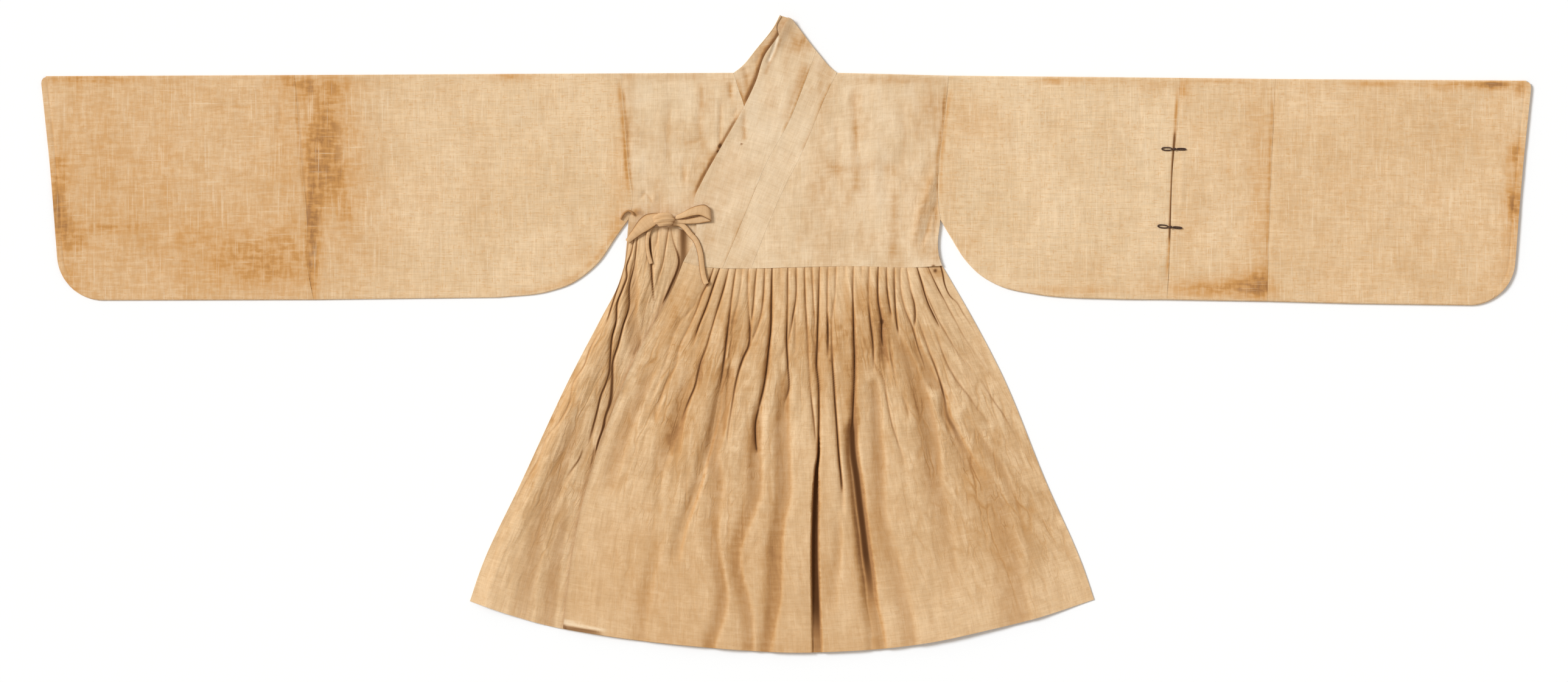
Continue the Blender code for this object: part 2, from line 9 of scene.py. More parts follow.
import bpy
import numpy as np
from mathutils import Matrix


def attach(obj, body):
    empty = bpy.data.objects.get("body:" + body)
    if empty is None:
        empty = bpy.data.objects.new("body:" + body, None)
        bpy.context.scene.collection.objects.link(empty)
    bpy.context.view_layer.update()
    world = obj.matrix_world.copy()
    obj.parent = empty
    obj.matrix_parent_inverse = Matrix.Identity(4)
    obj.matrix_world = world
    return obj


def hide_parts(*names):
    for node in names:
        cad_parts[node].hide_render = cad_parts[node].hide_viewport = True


bl_info = {
    "name": "Pleated Coat",
    "version": (1, 0, 0),
    "blender": (4, 5, 0),
    "location": "View3D > Sidebar > Coat",
    "description": "Lays out a pleated ramie coat with its tie and toggles",
    "category": "Add Mesh",
}

MM = 0.001

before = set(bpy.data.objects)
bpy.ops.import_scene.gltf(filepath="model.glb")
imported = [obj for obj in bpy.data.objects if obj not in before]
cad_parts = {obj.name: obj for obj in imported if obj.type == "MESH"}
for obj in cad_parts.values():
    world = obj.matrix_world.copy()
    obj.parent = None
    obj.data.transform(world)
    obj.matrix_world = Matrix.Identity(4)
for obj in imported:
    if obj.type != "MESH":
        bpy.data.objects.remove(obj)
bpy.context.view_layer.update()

# Heights of the layers at the middle of the cloth, of the skirts' side edges, and below the back skirt.
BACK_Z = 0.0005
INNER_Z = 0.0030
OUTER_Z = 0.0046
SIDE_EDGE_Z = 0.0017
BACK_GAP = 0.0001
# How far each piece stops short of its seams, and the depth and reach of the valley there.
SEAM_INSET = 0.0001
SEAM_DEPTH = 0.0004
SEAM_REACH = 0.005
# The share of the soil and painted shade that reaches the hidden back of a body half, and the least soil on a
# collar.
HIDDEN_SOIL_AND_SHADE = 0.12
COLLAR_SOIL = 0.11
# Body and collar cloth has points this much closer than sleeve cloth, and ripples this much higher.
FINE = 2.2
BODY_WAVE = 1.3
# Steps round a fold, rows of a hidden back, and rows over which the crowding of columns is averaged.
FOLD_STEPS = 7
HIDDEN_ROWS = 14
CROWD_ROWS = 13
SHARP_ANGLE = 60
# The part of a folded piece beside each fold where ripples fade out.
QUIET_SHARE = 0.05
# Columns of a sleeve are closer together than its rows, and crowd towards its seams.
SLEEVE_FINE = 1.3
SLEEVE_CROWD = 0.75

# Bumps of three sizes. Each row is a strength and a size across and along.
RIPPLES = ((1.0, 0.090, 0.110), (0.6, 0.034, 0.040), (0.25, 0.013, 0.014))
FLAT_CLOUDS = ((1.0, 0.028, 0.060), (0.6, 0.011, 0.024))
SKIRT_CLOUDS = ((1.0, 0.034, 0.060), (0.8, 0.013, 0.030), (0.5, 0.006, 0.012))
SKIRT_RIPPLES = ((1.0, 0.022, 0.20), (0.55, 0.009, 0.13), (0.3, 0.005, 0.05))

# How cloudy the colour of flat cloth is.
SLEEVE_CLOUDY = 0.10
BODY_CLOUDY = 0.24

# Seeds of the bumps, which decide where they fall.
FLAT_CLOUD_SEED = 311
SKIRT_CLOUD_SEED = 301
OUTER_SEEDS = {"ripples": 201, "swell": 207, "floor": 211}
INNER_SEEDS = {"ripples": 221, "floor": 231}
BACK_SEED = 241

# The skirts: depth from waist to hem, and the width of each one's cloth at the hem.
SKIRT_DEPTH = 0.7
OUTER_CLOTH = 0.94
INNER_CLOTH = 0.85
BACK_CLOTH = 1.1
# Columns and rows of the two lower skirts, and how many pleats the back one has.
INNER_GRID = (230, 140)
BACK_GRID = (220, 60)
BACK_PLEATS = 22
# Heights of the fine ripples and the broad swell of the front skirts, and of the uneven cloth under folds.
RIPPLE_HEIGHT = 0.0008
SWELL_HEIGHT = 0.0011
OUTER_UNEVEN = 0.0006
INNER_UNEVEN = 0.0005
# Shares of the way down, or across, and the values there.
OUTER_CREST = ((0, 0.03, 0.15, 0.5, 0.85, 1.0), (0.0049, 0.0076, 0.0118, 0.0145, 0.0115, 0.0080))
OUTER_FLOOR = ((0, 0.1), (0.0046, 0.0056))
OUTER_FRONT_EDGE = ((0, 0.2, 0.35, 1.0), (0.75, 0.45, 0.12, 0.06))
OUTER_FULLNESS = ((0.34, 0.68, 0.84, 0.95, 1.0), (1, 1, 0.50, 0.20, 0.0))
INNER_CREST = ((0, 0.06, 0.2, 0.45, 0.7, 1.0), (0.0050, 0.0070, 0.0092, 0.0098, 0.0082, 0.0064))
INNER_FADE = ((0, 0.25, 1), (0.032, 0.06, 0.10))
INNER_LOW_Z = 0.0034
EDGE_SHADOW = ((0, 0.12, 0.3, 1), (0.75, 0.55, 0.22, 0.22))
BACK_RISE = ((0, 0.3, 0.7, 1), (0.0005, 0.0015, 0.0011, 0.0004))

# Outlines shared by neighbouring pieces, from the upper end to the lower end, or from -X to +X.
CUFF_RADIUS = 81
CUFF_TOP_RADIUS = 13
RIGHT_CUFF_LOWER = (-853, 61)
LEFT_CUFF_LOWER = (1001, 54)
RIGHT_CUFF = {"top": 457, "upper_x": -1319, "middle": (-1304, 300), "lower_x": -1291, "lower": 60}
LEFT_CUFF = {"top": 449, "upper_x": 1319, "middle": (1304, 290), "lower_x": 1291, "lower": 51}
RIGHT_ARMHOLE = ((-293, 461), (-286, 384), (-279, 294), (-273, 225), (-279, 203))
LEFT_ARMHOLE = ((288, 457), (279, 372), (271, 310), (270, 226), (273, 203))
RIGHT_SLEEVE_SEAM = ((-870, 458), (-860, 327), (-849, 210), (-846, 108), (-837, 61))
LEFT_SLEEVE_SLIT = ((697, 453), (693, 374), (685, 300), (680, 168), (674, 61))
LEFT_SLEEVE_SEAM = ((866, 451), (860, 319), (853, 112), (852, 58))
RIGHT_BODY_SIDE = ((-279, 203), (-280, 171), (-283, 140), (-287, 120))
LEFT_BODY_SIDE = ((273, 203), (269, 149), (272, 132), (276, 121))
RIGHT_NECK_SLOPE = ((-11, 564), (-19, 548), (-52, 505), (-81, 471), (-93, 462))
LEFT_NECK_SLOPE = ((9, 558), (17, 548), (53, 501), (79, 471), (90, 462))
BACK_NECKLINE = ((-93, 462), (-62, 447), (-30, 440), (0, 438), (30, 440), (62, 447), (90, 462))
INNER_COLLAR_SEAM = ((-93, 462), (-84, 432), (-76, 409), (-73, 343), (-66, 250), (-52, 136))
INNER_COLLAR_EDGE = ((-9, 562), (-17, 545), (-14, 527), (-10, 493), (0, 440), (10, 343), (30, 225), (60, 128))
OUTER_COLLAR_EDGE = (
    (3, 560), (-15, 526), (-38, 493), (-54, 446), (-75, 402), (-118, 326), (-148, 272), (-163, 238),
    (-164, 218), (-159, 190), (-163, 168), (-182, 128),
)
COLLAR_SEAM = ((53, 501), (35, 451), (1, 368), (-31, 311), (-62, 238), (-87, 178), (-113, 116))
BORDER_SEAM = ((90, 462), (81, 445), (65, 410), (31, 328), (-13, 238), (-38, 178), (-62, 116))
OUTER_WAIST = ((-182, 128), (-158, 121), (-113, 116), (-62, 116), (124, 120), (233, 118), (276, 121))
INNER_WAIST = ((-282, 163), (-250, 184), (-206, 189), (-158, 176), (-52, 136), (60, 128))
BACK_WAIST = ((-287, 120), (276, 121))
BACK_SEAM_FOOT = (0, 120)
SKIRT_RIGHT_SIDE = (
    (-287, 120), (-298, 85), (-326, 31), (-377, -66), (-468, -260), (-543, -422), (-560, -473),
)
SKIRT_LEFT_SIDE = ((276, 121), (297, 85), (328, 31), (379, -66), (459, -260), (529, -422), (545, -470))
INNER_SKIRT_SIDE = ((-282, 163),) + SKIRT_RIGHT_SIDE
OUTER_SKIRT_EDGE = (
    (-182, 128), (-197, 90), (-222, 40), (-260, -27), (-319, -167), (-363, -308), (-381, -400), (-395, -521),
)
INNER_SKIRT_EDGE = ((60, 128), (110, -30), (180, -260), (240, -460), (262, -545))
HEM = (
    (-560, -473), (-508, -491), (-422, -516), (-336, -532), (-250, -544), (-163, -553), (-77, -560),
    (9, -564), (95, -562), (182, -556), (262, -545), (354, -525), (440, -504), (545, -470),
)
RIGHT_UNDERARM = ((-508, 65), (-422, 75), (-379, 90), (-355, 106), (-334, 125), (-302, 171), (-279, 203))
LEFT_UNDERARM = ((273, 203), (292, 171), (320, 128), (342, 106), (379, 85), (440, 71), (579, 62), (674, 61))

# Sharp pleats of the top skirt. Columns: x, y, depth, half width of the dark fold.
OUTER_PLEATS = (
    ((-153, 74, 1.5, 2.6), (-165, 47, 2, 2.6), (-185, 25, 2, 3), (-203, -12, 2, 3.4), (-216, -56, 1.5, 4),
     (-229, -88, 1.5, 5), (-258, -153, 1.5, 7)),
    ((-124, 135, 3, 2), (-137, 93, 5, 2), (-147, 74, 4, 2), (-159, 42, 3.5, 2), (-174, 9, 2.5, 2.4),
     (-189, -23, 2.5, 2.6), (-197, -56, 2.5, 3), (-213, -88, 2.5, 4), (-225, -120, 3, 5), (-239, -163, 2, 7)),
    ((-112, 135, 4, 2), (-128, 87, 6, 2.2), (-140, 51, 6, 2.2), (-156, 10, 6, 2), (-162, -8, 3, 2.2),
     (-167, -36, 1, 2.6)),
    ((-98, 135, 3, 2), (-110, 82, 5, 2), (-119, 52, 5, 2.2), (-125, 33, 4.5, 2), (-133, 5, 4, 2),
     (-142, -26, 4, 2), (-151, -49, 5, 2.2), (-156, -70, 6, 2.6), (-162, -94, 5.5, 3), (-172, -117, 5, 4),
     (-185, -153, 4, 5), (-192, -185, 3, 7), (-198, -230, 1.5, 10)),
    ((-87, 135, 4, 2), (-98, 52, 4, 2), (-103, 9, 7, 2.6), (-109, -39, 6, 4), (-116, -88, 5, 5),
     (-122, -131, 4, 6), (-133, -183, 4, 6), (-144, -219, 4, 7), (-153, -255, 4, 7), (-165, -293, 4, 7),
     (-178, -325, 3.5, 8), (-190, -368, 3, 8), (-198, -411, 1.5, 9)),
    ((-76, 135, 2, 2), (-85, 56, 2, 2), (-94, 19, 2, 2), (-96, -8, 2.5, 2), (-99, -26, 3, 2),
     (-100, -61, 2.5, 2), (-101, -109, 1, 2.4)),
    ((-66, 135, 3, 2), (-68, 72, 3, 2), (-66, 36, 3.5, 2), (-64, 4, 6, 2.6), (-67, -23, 7, 3.4),
     (-75, -40, 6, 4), (-84, -66, 5, 4), (-90, -90, 5, 4), (-95, -120, 4, 4), (-100, -153, 3, 4),
     (-104, -185, 2, 4), (-106, -217, 1, 4)),
    ((-51, 135, 3.5, 2), (-56, 78, 4, 2), (-59, 42, 4, 2), (-63, 10, 1.5, 2)),
    ((-38, 135, 3.5, 2), (-40, 71, 4, 2), (-43, 42, 3.5, 2), (-49, 19, 3.5, 2.4), (-58, -6, 3, 2.6),
     (-66, -24, 2, 3)),
    ((-25, 135, 4, 2), (-26, 52, 8, 2.6), (-27, 9, 9, 2.8), (-31, -29, 10, 3.4), (-35, -66, 10, 3.6),
     (-40, -96, 8, 4), (-48, -129, 5, 5), (-54, -158, 7, 3.4), (-54, -187, 8, 3.4), (-50, -222, 3, 4)),
    ((-11, 135, 2.5, 2), (-11, 82, 1, 2)),
    ((3, 135, 4, 2), (2, 31, 4, 2.2), (1, -12, 7, 3), (3, -56, 5, 3.2), (4, -99, 5, 3.6), (-2, -122, 3, 5),
     (-5, -163, 1, 6)),
    ((17, 135, 3.5, 2), (17, 62, 4, 2), (12, 31, 5, 2.6), (8, 7, 3, 2.6), (-1, -20, 2.5, 2.6),
     (-10, -40, 2, 2.6), (-19, -52, 1, 2.6)),
    ((15, 46, 1, 2), (16, 20, 3, 2), (16, -20, 2, 2), (15, -50, 1, 2)),
    ((32, 135, 3.5, 2), (34, 60, 4, 2), (36, 25, 4, 2), (38, -8, 3, 2), (40, -53, 3, 2.4), (42, -88, 3, 2.6),
     (45, -120, 4, 3), (48, -147, 4, 3.4), (53, -200, 3, 3)),
    ((45, 135, 3, 2), (48, 60, 3, 2), (50, 25, 3, 2), (50, -8, 2.5, 2), (52, -31, 2, 2), (54, -50, 1, 2)),
    ((59, 135, 3.5, 2), (57, 42, 5, 2.2), (55, -23, 7, 2.5), (54, -56, 8, 2.8), (57, -88, 7, 2.5),
     (58, -153, 7, 2.5), (57, -200, 7, 2.5), (56, -230, 3, 3)),
    ((74, 135, 3, 2), (73, 42, 3, 2), (74, 1, 7, 2.4), (73, -55, 1, 2.4)),
    ((88, 135, 3, 2), (86, 66, 2.5, 2), (81, 27, 2.5, 2), (81, -31, 4, 2.4), (85, -99, 7, 3.0),
     (90, -168, 7, 2.8), (94, -222, 9, 3), (97, -252, 7, 3.4), (99, -283, 3, 5), (100, -325, 1, 6)),
    ((104, 135, 2.5, 2), (104, 84, 1, 2)),
    ((119, 135, 3, 2), (118, 70, 4, 2.2), (119, 31, 7, 2.5), (120, -8, 9, 2.8), (121, -43, 10, 3),
     (120, -99, 9, 3), (118, -142, 8, 3.6), (117, -174, 11, 7), (119, -217, 13, 8), (124, -250, 13, 8.5),
     (130, -300, 13, 8.5), (136, -347, 12, 8), (141, -390, 11, 8.5), (147, -433, 9, 9), (151, -476, 7, 10),
     (160, -520, 5, 12), (168, -600, 4, 12)),
    ((133, 135, 2.5, 2), (134, 86, 1, 2)),
    ((147, 135, 3, 2), (146, 58, 3, 2), (148, 31, 5, 2.4), (153, -12, 6, 2.6), (155, -76, 1, 3)),
    ((163, 135, 4, 2), (163, 58, 6, 2.4), (169, 20, 8, 3), (169, -2, 7, 4), (173, -34, 4, 6),
     (182, -87, 1.5, 8)),
    ((177, 135, 3, 2), (179, 76, 5, 2), (184, 42, 5, 2.2), (189, 18, 1.5, 2.2)),
    ((191, 135, 3, 2), (192, 70, 5, 2), (194, 37, 5, 2.2), (197, 10, 5, 2.4), (201, -12, 1.5, 2.6)),
    ((202, 135, 3, 2), (203, 74, 3, 2.4), (211, 42, 3, 3), (224, 10, 4, 3), (233, -23, 4, 3.4),
     (244, -56, 3, 4), (250, -92, 1.5, 5)),
    ((210, 135, 3, 2), (220, 78, 3, 2), (227, 52, 5, 2), (228, 25, 5, 2.2), (223, 2, 1.5, 2.4)),
    ((226, 135, 3, 2), (241, 87, 7, 2.5), (245, 72, 8, 2.8), (252, 52, 6, 2.6), (259, 37, 6, 2.6),
     (268, 19, 4, 2.6), (278, -2, 1.5, 3)),
    ((243, 82, 2, 2), (257, 51, 3, 2), (270, 23, 3, 2), (279, 8, 3, 2.4), (288, -8, 3, 3), (302, -31, 2.5, 3),
     (315, -49, 2, 4), (338, -78, 1, 5)),
    ((242, 140, 3, 2), (259, 101, 4, 2), (270, 78, 5, 2), (281, 58, 3, 2), (288, 44, 3, 2.4),
     (300, 23, 2.5, 2.6), (313, -2, 2.5, 3), (329, -26, 2, 3), (345, -49, 2, 3.4), (363, -72, 1.5, 4),
     (386, -106, 1, 5)),
    ((268, 140, 4, 2), (277, 107, 6, 2.4), (281, 87, 5, 2.4), (293, 64, 4, 2.2), (300, 58, 3, 2),
     (313, 37, 3, 2.4), (325, 19, 2, 2.6), (339, -7, 1.6, 3), (360, -42, 1, 4)),
    ((232, 30, 2, 2.4), (245, -8, 3, 2.6), (252, -29, 3, 3), (261, -51, 4, 3.4), (270, -77, 4, 3.6),
     (279, -110, 6, 5), (286, -148, 8, 6), (296, -166, 8, 6), (308, -195, 7, 7), (317, -213, 6, 9),
     (329, -237, 5, 12), (340, -262, 3, 16)),
    ((184, 2, 1.5, 2.4), (185, -36, 3, 2.6), (188, -53, 3, 3), (197, -98, 1, 4)),
    ((154, -12, 2, 2.4), (156, -52, 2.5, 2.6), (170, -74, 3, 2.6), (179, -120, 3, 2.6), (185, -151, 3, 2.6),
     (197, -191, 3, 2.6), (203, -210, 2, 3), (213, -246, 1, 4)),
    ((203, -102, 2, 2.4), (213, -130, 2.5, 2.4), (217, -148, 2.5, 2.4), (214, -157, 1, 2.4)),
    ((260, 20, 1, 3), (279, -39, 3, 3), (289, -61, 3, 3.4), (307, -90, 3, 3.4), (324, -111, 3, 4),
     (336, -130, 2.5, 4), (351, -148, 2, 4), (365, -190, 1, 8)),
    ((340, -71, 2, 3), (365, -115, 3, 3), (386, -145, 3, 3), (399, -169, 2, 4), (416, -197, 1, 5)),
)
# The deep open fold of the top skirt, with steep walls, in the same columns.
OUTER_SLITS = (
    ((58, -170, 3, 1.6), (58, -195, 8, 1.9), (57, -217, 11, 2.4), (54, -240, 12, 3.2), (53, -262, 13, 4.4),
     (52, -300, 13, 5.4), (51, -347, 13, 5.8), (51, -400, 13, 6.2), (52, -450, 13, 6.8), (53, -490, 10, 7.2),
     (54, -520, 7, 7.6), (55, -545, 5, 8), (55, -600, 4, 8)),
)
# Broad soft valleys of the top skirt, in the same columns.
OUTER_VALLEYS = (
    ((-101, -50, 1, 7), (-101, -70, 4, 9), (-108, -109, 5, 11), (-120, -163, 5, 12), (-130, -217, 4, 12),
     (-122, -260, 3, 11), (-127, -329, 3, 9), (-123, -397, 3.5, 9), (-117, -428, 4, 9), (-112, -468, 4, 9),
     (-117, -499, 3.5, 9), (-133, -545, 3.5, 9), (-140, -600, 3, 9)),
    ((-48, -119, 2, 6), (-55, -228, 4.5, 11), (-55, -283, 4, 11), (-74, -336, 3.5, 10), (-89, -379, 3.5, 9),
     (-87, -422, 4, 9), (-74, -468, 4, 9), (-68, -499, 3.5, 9), (-66, -600, 3, 9)),
    ((-3, -60, 1, 6), (-3, -95, 3, 8), (-5, -163, 5, 10), (-4, -228, 5, 11), (-3, -283, 5, 11),
     (-12, -329, 5, 10), (-19, -391, 6, 10), (-19, -429, 5, 11), (-21, -468, 5, 11), (-27, -508, 5, 10),
     (-36, -558, 4, 9), (-40, -600, 4, 9)),
    ((85, -305, 1, 6), (93, -347, 2.5, 6), (90, -400, 2.5, 7), (84, -450, 2, 8), (82, -500, 1, 8)),
    ((154, -75, 2, 7), (158, -109, 3, 8), (160, -163, 3, 9), (164, -217, 3, 10), (168, -326, 3, 11),
     (180, -371, 3, 12), (195, -422, 3, 12), (203, -461, 3, 12), (215, -506, 3, 11), (225, -600, 2.5, 12)),
    ((190, 5, 1, 7), (217, -44, 4, 9), (228, -74, 4, 11), (240, -114, 5, 12), (250, -151, 5, 12),
     (258, -197, 5, 13), (262, -259, 4, 14), (272, -303, 3, 15), (285, -380, 2, 15), (290, -470, 1, 15)),
    ((228, 0, 1, 6), (234, -27, 3, 7), (250, -59, 4, 8), (261, -87, 4, 9), (278, -110, 3, 9)),
    ((-214, -340, 0.5, 8), (-240, -422, 1.6, 9), (-250, -468, 2, 10), (-256, -515, 2, 10),
     (-262, -600, 2, 10)),
    ((329, -160, 1.5, 5), (357, -203, 2.5, 6), (382, -240, 2.5, 6), (397, -274, 2.5, 7), (416, -321, 1.5, 8),
     (430, -380, 1, 9)),
    ((350, -230, 1, 14), (372, -300, 3, 18), (392, -380, 3, 20), (405, -460, 3, 22), (415, -560, 3, 22)),
    ((-160, -60, 1, 8), (-178, -100, 2.5, 9), (-195, -150, 3, 10), (-215, -210, 2.5, 11),
     (-235, -270, 1.5, 12)),
    ((-230, -40, 1, 8), (-250, -90, 2.5, 10), (-275, -150, 2.5, 11), (-300, -220, 2.5, 12),
     (-318, -290, 1.5, 12)),
)
# Pleats and valleys of the right front skirt where it shows, in the same columns.
INNER_PLEATS = (
    ((-250, 190, 4, 2), (-244, 177, 6, 2.4), (-240, 142, 6, 3.2), (-237, 90, 5.5, 3.6), (-233, 42, 1.5, 4)),
    ((-206, 200, 3, 2), (-213, 156, 3.5, 2), (-219, 121, 3, 2.2), (-226, 99, 2.5, 2.4), (-228, 69, 1, 2.6)),
    ((-206, 200, 2, 2), (-200, 165, 3, 2.4), (-190, 130, 4, 3), (-206, 81, 6, 3.4), (-222, 46, 4, 3)),
    ((-266, 190, 3, 2.4), (-274, 145, 4, 2.6), (-283, 116, 6, 3), (-282, 102, 8, 3), (-289, 81, 8, 3.4),
     (-299, 54, 7, 3.4), (-301, 22, 7, 3.4), (-308, -6, 7, 3.4), (-311, -41, 8, 3.4), (-313, -66, 8, 4),
     (-320, -90, 9, 4), (-327, -106, 8, 4), (-334, -134, 7, 4), (-341, -161, 6, 4.5), (-353, -202, 5, 6),
     (-365, -229, 4, 7), (-381, -245, 2, 8)),
    ((-262, 190, 3, 2), (-268, 128, 4, 2.4), (-278, 78, 7, 3), (-278, 50, 7, 3), (-289, 13, 7, 3.6),
     (-297, -18, 8, 4), (-307, -50, 9, 4.6), (-308, -78, 10, 5.2), (-312, -121, 10, 5.4),
     (-321, -149, 8, 4.4), (-324, -166, 10, 5), (-332, -189, 6, 4), (-341, -239, 5, 5), (-350, -270, 2, 7)),
    ((-276, 190, 3, 2.6), (-290, 105, 3, 3), (-301, 74, 5, 3), (-311, 42, 5, 3.4), (-322, 5, 1.5, 3.4)),
    ((-241, 74, 1.5, 2.4), (-254, 22, 3, 2.4), (-258, -13, 1.5, 2.6)),
    ((-338, -190, 2, 4), (-345, -230, 4, 5), (-352, -262, 4, 6), (-369, -300, 3, 8)),
    ((-357, -194, 2, 4), (-366, -220, 4, 4), (-382, -244, 4, 5), (-397, -269, 3, 6), (-407, -347, 1, 9)),
    ((-320, 19, 1.5, 4), (-346, -23, 3, 3), (-358, -56, 3, 3), (-378, -88, 2.5, 3), (-383, -120, 2.5, 3),
     (-400, -153, 2.5, 3), (-426, -185, 2, 3), (-437, -217, 2, 3), (-454, -250, 2, 3), (-472, -282, 2, 3),
     (-486, -324, 1, 3)),
    ((-226, 200, 2.5, 2), (-230, 160, 2.5, 2), (-237, 140, 1, 2)),
)
INNER_VALLEYS = (
    ((-270, 140, 1, 5), (-270, 122, 3, 6), (-270, 82, 4, 7), (-271, 30, 5, 8), (-266, -10, 5, 8),
     (-268, -50, 3, 8)),
    ((-355, -120, 1, 9), (-385, -200, 3, 12), (-420, -300, 3, 14), (-450, -400, 2.5, 16),
     (-470, -540, 2, 16)),
    ((-390, -290, 1, 8), (-400, -360, 3, 10), (-415, -450, 3, 12), (-425, -560, 3, 12)),
)

# Creases pressed into flat cloth. Columns: depth, which is below 0 for a ridge, half width, and its line.
# A crease fades towards its ends unless a fourth column says that it is even.
RIGHT_BODY_CREASES = (
    (1.5, 4, ((-116, 419), (-116, 386), (-118, 351), (-117, 329))),
    (1.0, 4, ((-99, 446), (-99, 411))),
    (1.2, 4, ((-95, 381), (-86, 402))),
    (0.5, 5, ((-179, 337), (-160, 341), (-140, 348))),
    (1.0, 5, ((-183, 303), (-180, 267))),
    (0.9, 6, ((-131, 307), (-142, 268), (-153, 236))),
    (0.8, 8, ((-150, 440), (-155, 380), (-148, 320))),
    (0.7, 9, ((-205, 430), (-210, 340), (-205, 280))),
    (1.2, 4, ((-262, 236), (-250, 250), (-240, 238), (-232, 222))),
    (-1.0, 5, ((-228, 250), (-236, 236), (-240, 220))),
)
LEFT_BODY_CREASES = (
    (1.0, 3, ((36, 438), (43, 422))),
    (-1.6, 7, ((268, 316), (261, 279), (250, 246), (239, 222), (228, 176), (221, 146))),
    (1.8, 6, ((268, 239), (257, 212), (250, 185), (236, 149))),
    (1.5, 5, ((272, 289), (266, 225), (262, 160))),
    (1.0, 8, ((120, 440), (122, 386), (124, 311))),
    (-1.0, 12, ((160, 343), (157, 246), (160, 190))),
    (0.8, 10, ((85, 400), (92, 330), (88, 260))),
    (0.8, 9, ((205, 420), (210, 350), (206, 280))),
)
OUTER_COLLAR_CREASES = (
    (0.7, 4, ((-74, 393), (-75, 366), (-73, 343))),
    (1.6, 3, ((-15, 530), (-22, 504), (-29, 488), (-35, 473))),
    (0.6, 4, ((-60, 420), (-30, 405), (10, 392))),
)
INNER_COLLAR_CREASES = (
    (1.2, 4, ((-75, 473), (-66, 448))),
    (1.0, 4, ((-48, 495), (-54, 476))),
)
RIGHT_SLEEVE_CREASES = (
    (0.8, 4, ((-1012, 405), (-975, 403), (-940, 400))),
    (0.8, 4, ((-967, 376), (-942, 370), (-918, 360))),
    (0.7, 5, ((-900, 430), (-895, 385), (-900, 350))),
)
LEFT_SLEEVE_CREASES = (
    (-0.8, 4, ((699, 335), (701, 275), (699, 212))),
    (0.7, 3, ((626, 425), (627, 390), (627, 350))),
)

